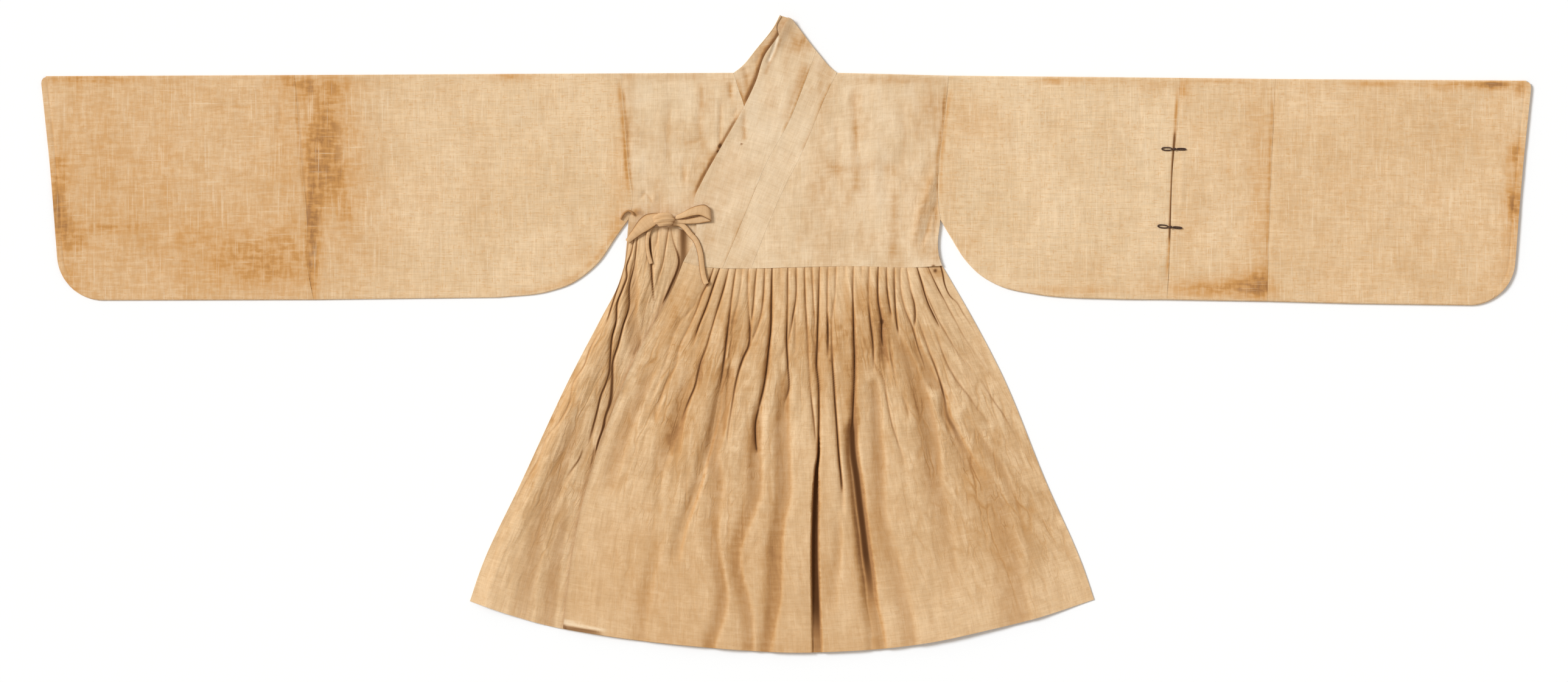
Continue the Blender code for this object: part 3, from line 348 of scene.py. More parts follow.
# Soft stains. Columns: x, y, reach along x, reach along y, strength.
STAINS = {
    "right_sleeve_outer": (
        (-1080, 260, 600, 600, 0.42), (-1231, 236, 140, 200, 0.18), (-1288, 260, 14, 60, 0.5),
        (-1284, 206, 20, 30, 0.5), (-1191, 189, 40, 6, 0.4), (-1263, 168, 30, 25, 0.35),
        (-1000, 150, 100, 70, 0.3), (-907, 125, 60, 50, 0.4), (-1241, 451, 90, 7, 0.5),
        (-880, 446, 22, 14, 0.5), (-880, 300, 30, 200, 0.22), (-1270, 90, 30, 30, 0.3),
    ),
    "right_sleeve_inner": (
        (-853, 437, 20, 22, 0.6), (-818, 355, 44, 110, 0.78), (-840, 210, 18, 100, 0.65),
        (-840, 110, 11, 60, 0.7), (-800, 270, 80, 190, 0.3), (-795, 276, 12, 24, 0.45),
        (-778, 223, 14, 30, 0.35), (-845, 206, 12, 25, 0.4), (-600, 280, 420, 300, 0.09),
        (-770, 139, 60, 60, 0.15), (-487, 457, 35, 8, 0.7), (-295, 289, 18, 90, 0.3),
        (-298, 190, 22, 22, 0.4), (-357, 139, 60, 20, 0.2), (-379, 92, 60, 12, 0.15),
        (-790, 440, 60, 14, 0.3), (-700, 280, 160, 200, 0.06),
    ),
    "right_body": (
        (-282, 376, 14, 90, 0.35), (-116, 386, 5, 30, 0.3), (-182, 284, 6, 20, 0.2), (-131, 307, 6, 14, 0.3),
        (-260, 214, 12, 10, 0.9), (-244, 268, 30, 40, 0.2), (-220, 210, 50, 30, 0.4), (-99, 430, 8, 24, 0.4),
        (-200, 455, 80, 8, 0.3), (-150, 300, 50, 60, 0.2), (-250, 180, 40, 30, 0.4),
    ),
    "left_body": (
        (262, 390, 50, 45, 0.35), (203, 449, 70, 7, 0.5), (128, 408, 6, 40, 0.3), (160, 260, 160, 40, 0.18),
        (240, 190, 30, 50, 0.25), (266, 140, 12, 20, 0.5), (60, 380, 20, 60, 0.1), (150, 300, 200, 220, 0.08),
        (150, 150, 140, 20, 0.1),
    ),
    "outer_collar": (
        (27, 516, 26, 18, 0.7), (-30, 470, 10, 40, 0.15), (30, 440, 10, 40, 0.3), (-5, 545, 12, 20, 0.6),
        (-140, 190, 30, 50, 0.15),
    ),
    "outer_collar_border": ((66, 476, 24, 16, 0.4), (60, 440, 6, 20, 0.4)),
    "inner_collar": ((-40, 490, 16, 40, 0.5), (-70, 440, 14, 30, 0.4), (-14, 535, 12, 24, 0.8)),
    "back_collar": ((0, 548, 30, 30, 0.6),),
    "left_sleeve_inner": (
        (333, 376, 50, 40, 0.35), (473, 448, 16, 5, 1.0), (529, 450, 80, 6, 0.4), (505, 77, 100, 8, 0.4),
        (320, 150, 30, 30, 0.25), (520, 110, 140, 30, 0.12), (650, 440, 40, 12, 0.4), (660, 80, 40, 20, 0.3),
        (290, 250, 14, 60, 0.25),
    ),
    "left_sleeve_middle": (
        (770, 250, 200, 400, 0.17), (836, 88, 40, 24, 0.9), (753, 80, 80, 16, 0.8), (839, 236, 20, 170, 0.35),
        (764, 448, 40, 5, 0.6), (702, 435, 12, 16, 0.6), (720, 200, 20, 40, 0.1),
    ),
    "left_sleeve_outer": (
        (1100, 250, 600, 500, 0.24), (1036, 443, 40, 6, 0.6), (1252, 441, 25, 7, 1.0),
        (1195, 441, 80, 7, 0.6), (1300, 435, 12, 14, 0.8), (1296, 322, 12, 20, 0.6), (1285, 228, 14, 20, 0.6),
        (1288, 236, 18, 110, 0.45), (860, 80, 14, 20, 0.4), (1260, 100, 30, 40, 0.2),
    ),
    "back_skirt": ((0, -560, 500, 40, 0.2),),
    "right_front_skirt": (
        (-400, -95, 26, 70, 0.7), (-365, -74, 12, 20, 0.7), (-386, -98, 14, 26, 0.6),
        (-409, -146, 14, 24, 0.6), (-430, -180, 14, 30, 0.5), (-453, -235, 18, 40, 0.4),
        (-330, -12, 16, 60, 0.5), (-318, -80, 26, 90, 0.5), (-290, 60, 22, 60, 0.5), (-272, 60, 14, 90, 0.5),
        (-480, -300, 30, 90, 0.25), (-440, -460, 120, 60, 0.25), (-235, 160, 50, 30, 0.45),
        (-350, -220, 40, 60, 0.3), (-410, -350, 60, 80, 0.2), (-218, 60, 20, 40, 0.5),
    ),
    "left_front_skirt": (
        (-155, 50, 60, 60, 0.45), (-215, 60, 30, 60, 0.35), (-270, -450, 110, 110, 0.18),
        (338, -250, 24, 50, 0.5), (354, -357, 60, 40, 0.25), (106, -12, 40, 60, 0.5), (0, -560, 400, 26, 0.3),
        (-100, -430, 420, 190, 0.29), (-140, -60, 60, 60, 0.3), (40, -10, 40, 60, 0.25),
        (190, -20, 40, 60, 0.35), (430, -330, 50, 110, 0.2), (266, 108, 14, 10, 0.8), (-60, 10, 30, 50, 0.3),
        (-200, -150, 40, 90, 0.2), (0, 20, 20, 40, 0.3), (140, 30, 24, 60, 0.35), (60, -50, 16, 60, 0.4),
        (-95, 10, 12, 50, 0.35), (112, -120, 14, 50, 0.8), (124, -145, 8, 40, 0.8), (140, -380, 26, 110, 0.5),
        (60, -330, 16, 200, 0.3), (-20, -420, 20, 120, 0.3), (-150, -60, 14, 50, 0.5),
        (-84, -380, 24, 80, 0.3), (-250, -440, 30, 90, 0.1), (170, 20, 16, 30, 0.6), (175, 0, 12, 40, 0.5),
    ),
}
# Where the cloth is crumpled, in the same columns. Crumpled cloth gets fine creases and dents with shade
# painted into them.
CRUMPLES = {
    "right_front_skirt": (
        (-350, -100, 110, 240, 0.9), (-430, -260, 90, 140, 0.6), (-240, 80, 60, 90, 0.6),
        (-450, -480, 160, 120, 0.25),
    ),
    "left_front_skirt": (
        (-240, -130, 90, 210, 0.8), (-90, -60, 120, 130, 0.6), (60, -20, 120, 120, 0.5),
        (200, -40, 110, 120, 0.5), (-110, -250, 90, 120, 0.5), (320, -150, 110, 160, 0.7),
        (440, -330, 90, 140, 0.8), (300, -300, 90, 140, 0.4), (0, -420, 420, 160, 0.22),
    ),
    "left_body": ((160, 260, 220, 220, 0.1), (250, 200, 30, 80, 0.3)),
    "right_body": ((-160, 330, 120, 140, 0.15),),
}
# Soft lines of colour: seams showing their wear, the ghosts of seams that lie underneath, shadows painted
# beside raised edges and in a slit, and highlights painted along raised ridges. Columns: mask, strength, half
# width, and its line.
MARKS = {
    "outer_collar": (
        ("stain", 0.8, 3, ((44, 480), (30, 440), (12, 395), (-8, 352))),
        ("stain", 0.45, 9, ((36, 482), (22, 440), (6, 400), (-8, 370))),
        ("stain", 0.7, 2.6, ((-45, 275), (-70, 215), (-100, 145), (-112, 118))),
        # Highlights painted along the raised ridges of the collar seam and of the front edge.
        ("pale", 0.8, 2.6, ((-8, 345), (-30, 305), (-52, 262))),
        ("pale", 0.9, 3, ((-13, 528), (-24, 500), (-32, 480))),
        ("stain", 0.6, 3, ((-8, 528), (-18, 500), (-30, 478), (-38, 455))),
        ("stain", 0.6, 4, ((-74, 400), (-75, 366), (-73, 340))),
        ("pale", 0.08, 30, ((-30, 480), (-60, 380), (-110, 270), (-150, 170))),
        ("pale", 0.1, 26, ((10, 470), (-20, 400), (-80, 280), (-120, 190))),
    ),
    "outer_collar_border": (
        ("stain", 0.8, 3, ((84, 450), (64, 408), (50, 370), (34, 335), (26, 318))),
        ("pale", 0.1, 22, ((60, 450), (10, 340), (-50, 210), (-80, 130))),
    ),
    "inner_collar": (
        ("stain", 0.8, 5, ((-92, 458), (-82, 428), (-74, 405), (-73, 340))),
        # Shadow painted beside the top collar's front edge, as a brown band and a dark line.
        ("stain", 1.2, 6, ((-18, 528), (-40, 492), (-56, 445), (-76, 402), (-110, 338))),
        ("soil", 0.65, 5, ((-2, 556), (-18, 526), (-41, 490), (-57, 445), (-78, 400))),
        ("stain", 0.4, 6, ((-80, 478), (-66, 440), (-62, 420))),
    ),
    "right_body": (
        # Shadow painted beside the top collar's front edge, as a brown band and a dark line.
        ("stain", 0.8, 5, ((-76, 400), (-119, 326), (-150, 272), (-166, 238))),
        ("soil", 0.6, 3, ((-84, 390), (-121, 326), (-152, 272), (-166, 240))),
        ("stain", 0.7, 3.4, ((-290, 440), (-283, 370), (-277, 290), (-272, 240))),
        ("stain", 0.3, 5, ((-184, 337), (-162, 341), (-140, 347))),
        ("stain", 0.3, 7, ((-150, 450), (-150, 380), (-146, 320))),
    ),
    "left_body": (
        ("stain", 0.6, 3.4, ((284, 452), (276, 372), (268, 310), (267, 240))),
        ("stain", 0.4, 7, ((116, 440), (120, 386), (122, 300), (126, 240))),
        ("stain", 0.35, 6, ((262, 290), (252, 250), (236, 200), (226, 150))),
        ("stain", 0.3, 6, ((266, 225), (256, 185), (242, 140))),
        ("stain", 0.35, 8, ((190, 260), (192, 200), (188, 130))),
        ("stain", 0.3, 10, ((60, 300), (110, 290), (160, 300), (210, 286))),
    ),
    "left_sleeve_inner": (
        ("stain", 0.5, 4, ((292, 440), (280, 360), (274, 290), (274, 230))),
        # Shadow painted in the gap of the sleeve's slit.
        ("soil", 0.8, 2.6, ((689, 372), (684, 300), (681, 220), (678, 150))),
        ("stain", 0.8, 3, ((694, 448), (689, 372), (678, 150), (672, 80))),
    ),
    "left_sleeve_middle": (
        ("stain", 0.4, 3.5, ((863, 440), (856, 320), (850, 110), (849, 66))),
        ("soil", 0.12, 2, ((864, 450), (858, 320), (851, 112), (850, 58))),
    ),
    "right_sleeve_outer": (
        ("stain", 0.3, 3, ((-872, 452), (-862, 327), (-851, 210), (-848, 108), (-840, 64))),
    ),
    "right_sleeve_inner": (
        ("soil", 0.25, 2, ((-868, 456), (-858, 327), (-847, 210), (-844, 108), (-835, 60))),
        ("stain", 0.6, 4, ((-297, 452), (-290, 384), (-283, 294), (-278, 240))),
        ("stain", 0.35, 4, ((-504, 69), (-422, 80), (-381, 95), (-340, 130), (-290, 195))),
    ),
}
# Small holes and dark spots. Columns: x, y, reach.
SPOTS = {
    "right_body": ((-117, 333, 3.5), (-119, 322, 3)),
    "outer_collar": ((-79, 336, 2.0),),
    "left_body": ((261, 119, 4),),
    "left_front_skirt": ((264, 112, 4), (170, 22, 4)),
}

# Ribbons of the tie, along their middle lines. Columns: x, y, height, width, lean in degrees.
TIE_LOOP = (
    (-196, 206, 10.4, 9, 62), (-186, 209, 12.0, 13, 66), (-176, 213, 13.2, 17, 70), (-164, 217, 13.6, 18, 76),
    (-152, 219, 13.4, 19, 84), (-141, 216, 12.6, 24, 92), (-135, 212, 11.0, 24, 96), (-133, 210, 9.4, 23, 94),
    (-139, 208, 8.4, 21, 90), (-152, 203, 8.2, 15, 84), (-168, 200, 8.4, 11, 84), (-186, 199, 8.8, 8, 84),
    (-198, 200, 9.4, 7, 84),
)
TIE_BAND = (
    (-226, 206, 13.0, 16, 100), (-234, 203, 13.2, 23, 112), (-243, 199, 12.6, 27, 122),
    (-251, 193, 11.6, 26, 128), (-259, 186, 10.4, 21, 134), (-267, 178, 9.2, 16, 134),
    (-275, 170, 8.2, 12, 134), (-281, 163, 7.4, 9, 134),
)
# The tie's thickness, that of its band, and how far each ribbon bows up along its middle.
RIBBON_CLOTH = 0.0010
BAND_CLOTH = 0.0012
CURLS = {"loop": 0.0009, "band": 0.0016, "tail": 0.0012, "strand": 0.0010}
TAIL_WIDTH = 0.0105
STRAND_WIDTH = 0.0075
# The tie's two narrow ends, each of one width. Columns: x, y, height.
TIE_TAIL = (
    (-200, 196, 8.2), (-189, 195, 7.6), (-178, 187, 7.2), (-170, 177, 7.0), (-161, 167, 7.0),
    (-156, 157, 7.0), (-152, 143, 7.2), (-148, 113, 8.4), (-145, 98, 11.0), (-141, 88, 12.6),
)
TIE_STRAND = (
    (-232, 196, 9.0), (-239, 188, 8.2), (-244, 176, 8.0), (-246, 160, 8.2), (-244, 143, 8.6),
    (-239, 124, 9.2),
)
# The armpit's loop of bound cloth, in the same columns.
UNDERARM_LOOP = (
    (-293, 203, 6.2), (-290, 209, 6.6), (-285, 215, 7.4), (-279, 218, 7.6), (-273, 215, 6.6),
    (-270, 211, 6.0),
)
UNDERARM_RADIUS = 0.0019
UNDERARM_MASKS = {"stain": 0.9, "soil": 0.35, "pale": 0.0}

# The tie's knot and the toggles, in metres and degrees. A ring has its part, its place along the toggle,
# its length and its width.
TIE_KNOT = {"centre": (-0.2165, 0.2025, 0.0140), "radii": (0.0190, 0.0128, 0.0062), "turn": -14}
TOGGLES = (
    {"node": "upper_toggle", "x": 0.6872, "y": 0.3272, "turn": -1.0},
    {"node": "lower_toggle", "x": 0.6802, "y": 0.1892, "turn": -5.0},
)
TOGGLE_RADIUS = 0.00105
TOGGLE_GAP = 0.0003
TOGGLE_RINGS = (("loop", -0.0134, 0.0179, 0.0050), ("stem", 0.0122, 0.0158, 0.0027))
RING_WAVE = 0.0002
RING_POINTS = 40
TOGGLE_KNOT = {"radius": 0.0029, "shape": (1.05, 0.85, 0.9), "rise": 0.0017}


# ---------------------------------------------------------------- settings


def colour_property(name, description, default):
    return bpy.props.FloatVectorProperty(
        name=name, description=description, default=default, subtype="COLOR", size=3, min=0.0, max=1.0,
    )


class CoatSettings(bpy.types.PropertyGroup):
    """Sizes and colours that a user may change before the pieces are made."""

    cloth_thickness: bpy.props.FloatProperty(
        name="Cloth thickness", description="Thickness of one layer of ramie", default=0.0008, min=0.0003,
        max=0.001, unit="LENGTH",
    )
    grid_step: bpy.props.FloatProperty(
        name="Grid step", description="Distance between the points of flat cloth", default=0.0055, min=0.003,
        max=0.02, unit="LENGTH",
    )
    skirt_columns: bpy.props.IntProperty(
        name="Skirt columns", description="Points across the top skirt", default=290, min=60, max=300,
    )
    skirt_rows: bpy.props.IntProperty(
        name="Skirt rows", description="Points down the top skirt", default=162, min=40, max=165,
    )
    ripple: bpy.props.FloatProperty(
        name="Ripple", description="How far flat cloth rises and dips", default=0.0006, min=0.0, max=0.0008,
        unit="LENGTH",
    )
    body_colour: colour_property("Body cloth", "Colour of the body and collar", (0.785, 0.598, 0.392))
    sleeve_colour: colour_property("Sleeve cloth", "Colour of the sleeves", (0.765, 0.565, 0.352))
    skirt_colour: colour_property("Skirt cloth", "Colour of the skirt", (0.765, 0.542, 0.322))
    tie_colour: colour_property("Tie cloth", "Colour of the tie", (0.690, 0.450, 0.245))
    # The stain colours also paint the browner shade in folds, on steep sides and beside raised edges.
    stain_and_shade_colour: colour_property("Stain", "Colour that aged cloth turns", (0.540, 0.290, 0.110))
    sleeve_stain_and_shade_colour: colour_property(
        "Sleeve stain", "Colour that the aged sleeves turn", (0.585, 0.290, 0.088)
    )
    # The deep stain colour also paints darker shade. The deep fold colour is the shade painted at the bottom
    # of deep folds and in narrow gaps, and the colour of dark spots.
    deep_stain_and_shade_colour: colour_property("Deep stain", "Colour of the strongest stains", (0.330, 0.150, 0.050))
    spot_and_fold_shade_colour: colour_property(
        "Deep folds", "Colour of the cloth at the bottom of a deep fold", (0.088, 0.030, 0.005)
    )
    cord_colour: colour_property("Toggle cord", "Colour of the corded toggles", (0.045, 0.022, 0.014))
    floor_colour: colour_property("Floor", "Colour of the surface under the coat", (0.93, 0.93, 0.925))
    key_strength: bpy.props.FloatProperty(
        name="Key light", description="Strength of the main light", default=2.85, min=0.0, max=20.0,
    )
    fill_strength: bpy.props.FloatProperty(
        name="Fill light", description="Strength of the light from all round", default=0.55, min=0.0, max=5.0,
    )


def settings():
    return bpy.context.scene.coat


# ---------------------------------------------------------------- shapes in numbers


def smoothstep(value):
    held = np.clip(value, 0.0, 1.0)
    return held * held * (3.0 - 2.0 * held)


def bell(gap, reach, power=2):
    """1 where there is no gap, falling to 0 past the reach."""
    return np.exp(-((gap / reach) ** power))


def turned(x, y, angle):
    c, s = math.cos(angle), math.sin(angle)
    return x * c - y * s, x * s + y * c


def noise(x, y, size_x, size_y, seed):
    """Smooth bumps from -1 to 1, about these sizes across and along."""
    table = np.random.RandomState(seed).uniform(-1.0, 1.0, (128, 128))
    grid_x, grid_y = x / size_x, y / size_y
    left, low = np.floor(grid_x).astype(int), np.floor(grid_y).astype(int)
    blend_x, blend_y = smoothstep(grid_x - left), smoothstep(grid_y - low)

    def corner(step_x, step_y):
        return table[(left + step_x) % 128, (low + step_y) % 128]

    lower = corner(0, 0) * (1 - blend_x) + corner(1, 0) * blend_x
    upper = corner(0, 1) * (1 - blend_x) + corner(1, 1) * blend_x
    return lower * (1 - blend_y) + upper * blend_y


def layered(x, y, layers, seed):
    """Bumps of several sizes together."""
    return sum(share * noise(x, y, wide, deep, seed + i) for i, (share, wide, deep) in enumerate(layers))


def chord_lengths(points):
    return np.concatenate([[0.0], np.cumsum(np.linalg.norm(np.diff(points, axis=0), axis=1))])


def smooth_line(table, count=240):
    """Points of a smooth curve through a table's points."""
    points = np.asarray(table, float)
    if len(points) < 3:
        share = np.linspace(0, 1, count)[:, None]
        return points[0] * (1 - share) + points[-1] * share
    run = chord_lengths(points)
    slopes = np.gradient(points, run, axis=0)
    wanted = np.linspace(0, run[-1], count)
    i = np.clip(np.searchsorted(run, wanted, side="right") - 1, 0, len(run) - 2)
    width = (run[i + 1] - run[i])[:, None]
    t = ((wanted - run[i])[:, None]) / width
    return (
        points[i] * (2 * t**3 - 3 * t**2 + 1)
        + points[i + 1] * (3 * t**2 - 2 * t**3)
        + slopes[i] * width * (t**3 - 2 * t**2 + t)
        + slopes[i + 1] * width * (t**3 - t**2)
    )


def along(line, fractions):
    """Points at these fractions of a line's length."""
    run = chord_lengths(line)
    wanted = np.asarray(fractions) * run[-1]
    return np.stack([np.interp(wanted, run, line[:, k]) for k in range(line.shape[1])], axis=-1)


def between(line, first_x, last_x):
    """The stretch of a dense line that runs towards +X, cut at two x values."""
    cut = [(x, float(np.interp(x, line[:, 0], line[:, 1]))) for x in (first_x, last_x)]
    inside = line[(line[:, 0] > first_x) & (line[:, 0] < last_x)]
    return np.vstack([cut[0], inside, cut[1]])


def fill(left, right, upper, lower, across, down):
    """Points in metres that fill four edges. Across is a row of shares for each share down."""
    upper = smooth_line((left[0], right[0]), 60) if upper is None else upper
    lower = smooth_line((left[-1], right[-1]), 60) if lower is None else lower
    left_points, right_points = along(left, down)[:, None], along(right, down)[:, None]
    u, v = across[:, :, None], down[:, None, None]
    top_line, bottom_line = along(upper, across), along(lower, across)
    corners_top = (1 - u) * upper[0] + u * upper[-1]
    corners_bottom = (1 - u) * lower[0] + u * lower[-1]
    sides = (1 - u) * left_points + u * right_points
    return (sides + (1 - v) * (top_line - corners_top) + v * (bottom_line - corners_bottom)) * MM


def even_grid(left, right, upper, lower, columns, rows, crowd=0.0, inset=SEAM_INSET):
    """Even rows of points, stopping short of the side seams. Columns may crowd towards both sides."""
    across = np.linspace(0, 1, columns + 1)
    across = np.tile(across - crowd * np.sin(2 * math.pi * across) / (2 * math.pi), (rows + 1, 1))
    grid = fill(left, right, upper, lower, across, np.linspace(0, 1, rows + 1))
    grid[:, 0, 0] += inset
    grid[:, -1, 0] -= inset
    return grid


def steps_for(length_mm, finer=1.0):
    return max(4, round(length_mm * MM / settings().grid_step * finer))


def distance_to(x, y, line):
    """Distance in metres from each point to a line in millimetres, and how far along it that is."""
    points = np.asarray(line, float) * MM
    run = chord_lengths(points)
    nearest, place = np.full(x.shape, 9.0), np.zeros(x.shape)
    for start, end, begun, done in zip(points[:-1], points[1:], run[:-1], run[1:]):
        step = end - start
        t = np.clip(((x - start[0]) * step[0] + (y - start[1]) * step[1]) / (step @ step), 0, 1)
        gap = np.hypot(x - start[0] - t * step[0], y - start[1] - t * step[1])
        closer = gap < nearest
        nearest = np.where(closer, gap, nearest)
        place = np.where(closer, (begun + t * (done - begun)) / run[-1], place)
    return nearest, place


# The shares of a crease and of a mark over which each end fades.
CREASE_END = 0.22
MARK_END = 0.12
# The shade painted into a crease one millimetre deep, and the width of that dark line as a share of the
# crease's.
CREASE_SHADE = 0.22
CREASE_LINE = 0.45
# How fast a soft patch fades, and the most that a stain can be.
PATCH_FALL = 0.9
MOST_STAIN = 1.6


def fading_ends(place, share):
    return smoothstep(np.minimum(place, 1 - place) / share)


def pressed(x, y, creases):
    """How far creases lift flat cloth, and how much shade is painted into them."""
    lift, dark = np.zeros(x.shape), np.zeros(x.shape)
    for depth, width, line, *kind in creases:
        gap, place = distance_to(x, y, line)
        taper = 1.0 if "even" in kind else fading_ends(place, CREASE_END)
        width = width * MM
        lift -= depth * MM * bell(gap, width) * taper
        if depth > 0:
            dark += CREASE_SHADE * depth * bell(gap, CREASE_LINE * width) * taper
    return lift, dark


def rippled(x, y, seed):
    return settings().ripple * layered(x, y, RIPPLES, seed)


def patched(x, y, patches):
    """How strongly soft patches show at each point."""
    amount = np.zeros(x.shape)
    for centre_x, centre_y, reach_x, reach_y, strength in patches:
        near = ((x - centre_x * MM) / (reach_x * MM)) ** 2 + ((y - centre_y * MM) / (reach_y * MM)) ** 2
        amount = amount + strength * np.exp(-near * PATCH_FALL)
    return np.clip(amount, 0.0, MOST_STAIN)


def painted(x, y, node, mask):
    """Soft lines painted on a piece, for one of its masks."""
    amount = np.zeros(x.shape)
    for kind, strength, width, line in MARKS.get(node, ()):
        if kind == mask:
            gap, place = distance_to(x, y, line)
            taper = fading_ends(place, MARK_END)
            amount = np.maximum(amount, strength * taper * bell(gap, width * MM))
    return amount


def spotted(x, y, node):
    amount = np.zeros(x.shape)
    for centre_x, centre_y, reach in SPOTS.get(node, ()):
        amount = np.maximum(amount, bell(np.hypot(x - centre_x * MM, y - centre_y * MM), reach * MM))
    return amount


# ---------------------------------------------------------------- meshes


def select_only(obj):
    bpy.ops.object.select_all(action="DESELECT")
    bpy.context.view_layer.objects.active = obj
    obj.select_set(True)


def add_masks(mesh, masks):
    for mask, values in masks.items():
        attribute = mesh.attributes.new(mask, "FLOAT", "POINT")
        attribute.data.foreach_set("value", np.asarray(values, np.float32).ravel())


def mesh_object(name, points, faces, uvs, masks):
    """An object from arrays: points, four-cornered faces, a UV for each corner, and masks for each point."""
    mesh = bpy.data.meshes.new(name)
    mesh.from_pydata(points.reshape(-1, 3).tolist(), [], faces.tolist())
    layer = mesh.uv_layers.new(name="threads")
    layer.data.foreach_set("uv", uvs.astype(np.float32).ravel())
    add_masks(mesh, masks)
    mesh.shade_smooth()
    mesh.update()
    made = bpy.data.objects.new(name, mesh)
    bpy.context.scene.collection.objects.link(made)
    return made


def grid_ids(shape):
    return np.arange(shape[0] * shape[1]).reshape(shape[:2])


def grid_faces(ids):
    return np.stack([ids[1:, :-1], ids[1:, 1:], ids[:-1, 1:], ids[:-1, :-1]], axis=-1).reshape(-1, 4)


def open_sheet(name, points, uvs, masks):
    """A layer of cloth with its own thickness straight down from each point, closed round the rim."""
    ids = grid_ids(points.shape)
    count = ids.size
    half = np.array([0.0, 0.0, settings().cloth_thickness / 2])
    top = grid_faces(ids)
    ring = np.concatenate([ids[:-1, 0], ids[-1, :-1], ids[:0:-1, -1], ids[0, :0:-1]])
    following = np.roll(ring, -1)
    rim = np.stack([ring, ring + count, following + count, following], axis=-1)
    faces = np.vstack([top, top[:, ::-1] + count, rim])
    both = np.concatenate([points + half, points - half])
    corner_uvs = np.vstack([uvs.reshape(-1, 2)] * 2)[faces]
    doubled = {mask: np.concatenate([values.ravel()] * 2) for mask, values in masks.items()}
    made = mesh_object(name, both, faces, corner_uvs, doubled)
    ends = np.empty(len(made.data.edges) * 2, np.int64)
    made.data.edges.foreach_get("vertices", ends)
    ends = ends.reshape(-1, 2)
    same_side = (ends[:, 0] < count) == (ends[:, 1] < count)
    sharp = np.isin(ends % count, ring).all(axis=1) & same_side
    attribute = made.data.attributes.new("sharp_edge", "BOOLEAN", "EDGE")
    attribute.data.foreach_set("value", sharp)
    return made


def solid_wall(obj, thickness, rounded=False):
    """Thickens a surface both ways, and rounds it if asked."""
    wall = obj.modifiers.new("wall", "SOLIDIFY")
    wall.thickness = thickness
    wall.offset = 0.0
    if rounded:
        smooth = obj.modifiers.new("smooth", "SUBSURF")
        smooth.levels = smooth.render_levels = 1
    select_only(obj)
    for name in [modifier.name for modifier in obj.modifiers]:
        bpy.ops.object.modifier_apply(modifier=name)
    return obj


def cloth_wall(obj):
    solid_wall(obj, settings().cloth_thickness)
    obj.data.set_sharp_from_angle(angle=math.radians(SHARP_ANGLE))
    return obj


def ball(name, segments, rings, radius):
    """A ball, and its points as rows."""
    bpy.ops.object.select_all(action="DESELECT")
    bpy.ops.mesh.primitive_uv_sphere_add(segments=segments, ring_count=rings, radius=radius)
    made = bpy.context.active_object
    made.name = made.data.name = name
    places = np.empty(len(made.data.vertices) * 3)
    made.data.vertices.foreach_get("co", places)
    return made, places.reshape(-1, 3)


def reshape(obj, places):
    obj.data.vertices.foreach_set("co", places.ravel())
    obj.data.update()
    obj.data.shade_smooth()


def fold_rows(edge, facing, high, low):
    """Rows of a half-round fold from high to low along an edge, and where it starts."""
    radius = (high - low) / 2
    rows = []
    for step in range(1, FOLD_STEPS):
        angle = math.pi * step / FOLD_STEPS
        y = edge[:, 1] - facing * radius * (1 - math.sin(angle))
        z = np.full(len(edge), low + radius * (1 + math.cos(angle)))
        rows.append(np.column_stack([edge[:, 0], y, z]))
    return rows, edge[:, 1] - facing * radius


def folded_sheet(name, front, back, high, low, lift, masks, tube):
    """Cloth folded along its upper edge, front over back, and joined along its lower edge if it's a tube."""
    top_fold, fold_y = fold_rows(front[0], 1, high, low)
    front[0, :, 1] = back[0, :, 1] = fold_y
    bottom_fold = []
    if tube:
        bottom_fold, fold_y = fold_rows(front[-1], -1, high, low)
        front[-1, :, 1] = back[-1, :, 1] = fold_y
    front_rows = np.dstack([front, high + lift])
    back_rows = np.dstack([back, np.full(back.shape[:2], low)])
    rows = np.stack([*front_rows[::-1], *top_fold, *back_rows, *bottom_fold[::-1]])
    run = np.cumsum(np.linalg.norm(np.diff(rows, axis=0), axis=2), axis=0)
    run = np.concatenate([np.zeros((1, rows.shape[1])), run])
    uvs = np.dstack([rows[:, :, 0], run + rows[0, :, 1]])
    ids = grid_ids(rows.shape)
    if tube:
        ids = np.vstack([ids, ids[:1]])
        closing = np.linalg.norm(rows[0] - rows[-1], axis=1)
        uvs = np.concatenate([uvs, (uvs[-1] + np.column_stack([np.zeros(len(closing)), closing]))[None]])
    corners = uvs.reshape(-1, 2)[grid_faces(grid_ids(ids.shape))]
    shares = np.linspace(0, 1, len(front)), np.linspace(0, 1, len(back))
    spread = {}
    for mask, values in masks.items():
        hidden = np.stack([np.interp(shares[1], shares[0], column) for column in values.T], axis=1)
        if mask == "soil" and not tube:
            hidden *= HIDDEN_SOIL_AND_SHADE
        folds = [values[:1]] * len(top_fold), [values[-1:]] * len(bottom_fold)
        spread[mask] = np.concatenate([values[::-1], *folds[0], hidden, *folds[1]])
    return cloth_wall(mesh_object(name, rows, grid_faces(ids), corners, spread))


def finish_piece(obj, node, slot, *, with_pieces=()):
    """Gives a piece its material, hangs it from the root, and hides the part of the frame that it stands for.
    """
    obj.data.materials.append(cord_material() if slot == "toggle_cord" else cloth_material(slot))
    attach(obj, "root")
    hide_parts(node)
    return obj


# ---------------------------------------------------------------- materials


def add_node(tree, kind, inputs=None, **looks):
    """A node with these properties. Each input is a value, or another node's output to link."""
    node = tree.nodes.new(kind)
    for key, value in looks.items():
        setattr(node, key, value)
    for key, value in (inputs or {}).items():
        if isinstance(value, bpy.types.NodeSocket):
            tree.links.new(value, node.inputs[key])
        else:
            node.inputs[key].default_value = value
    return node


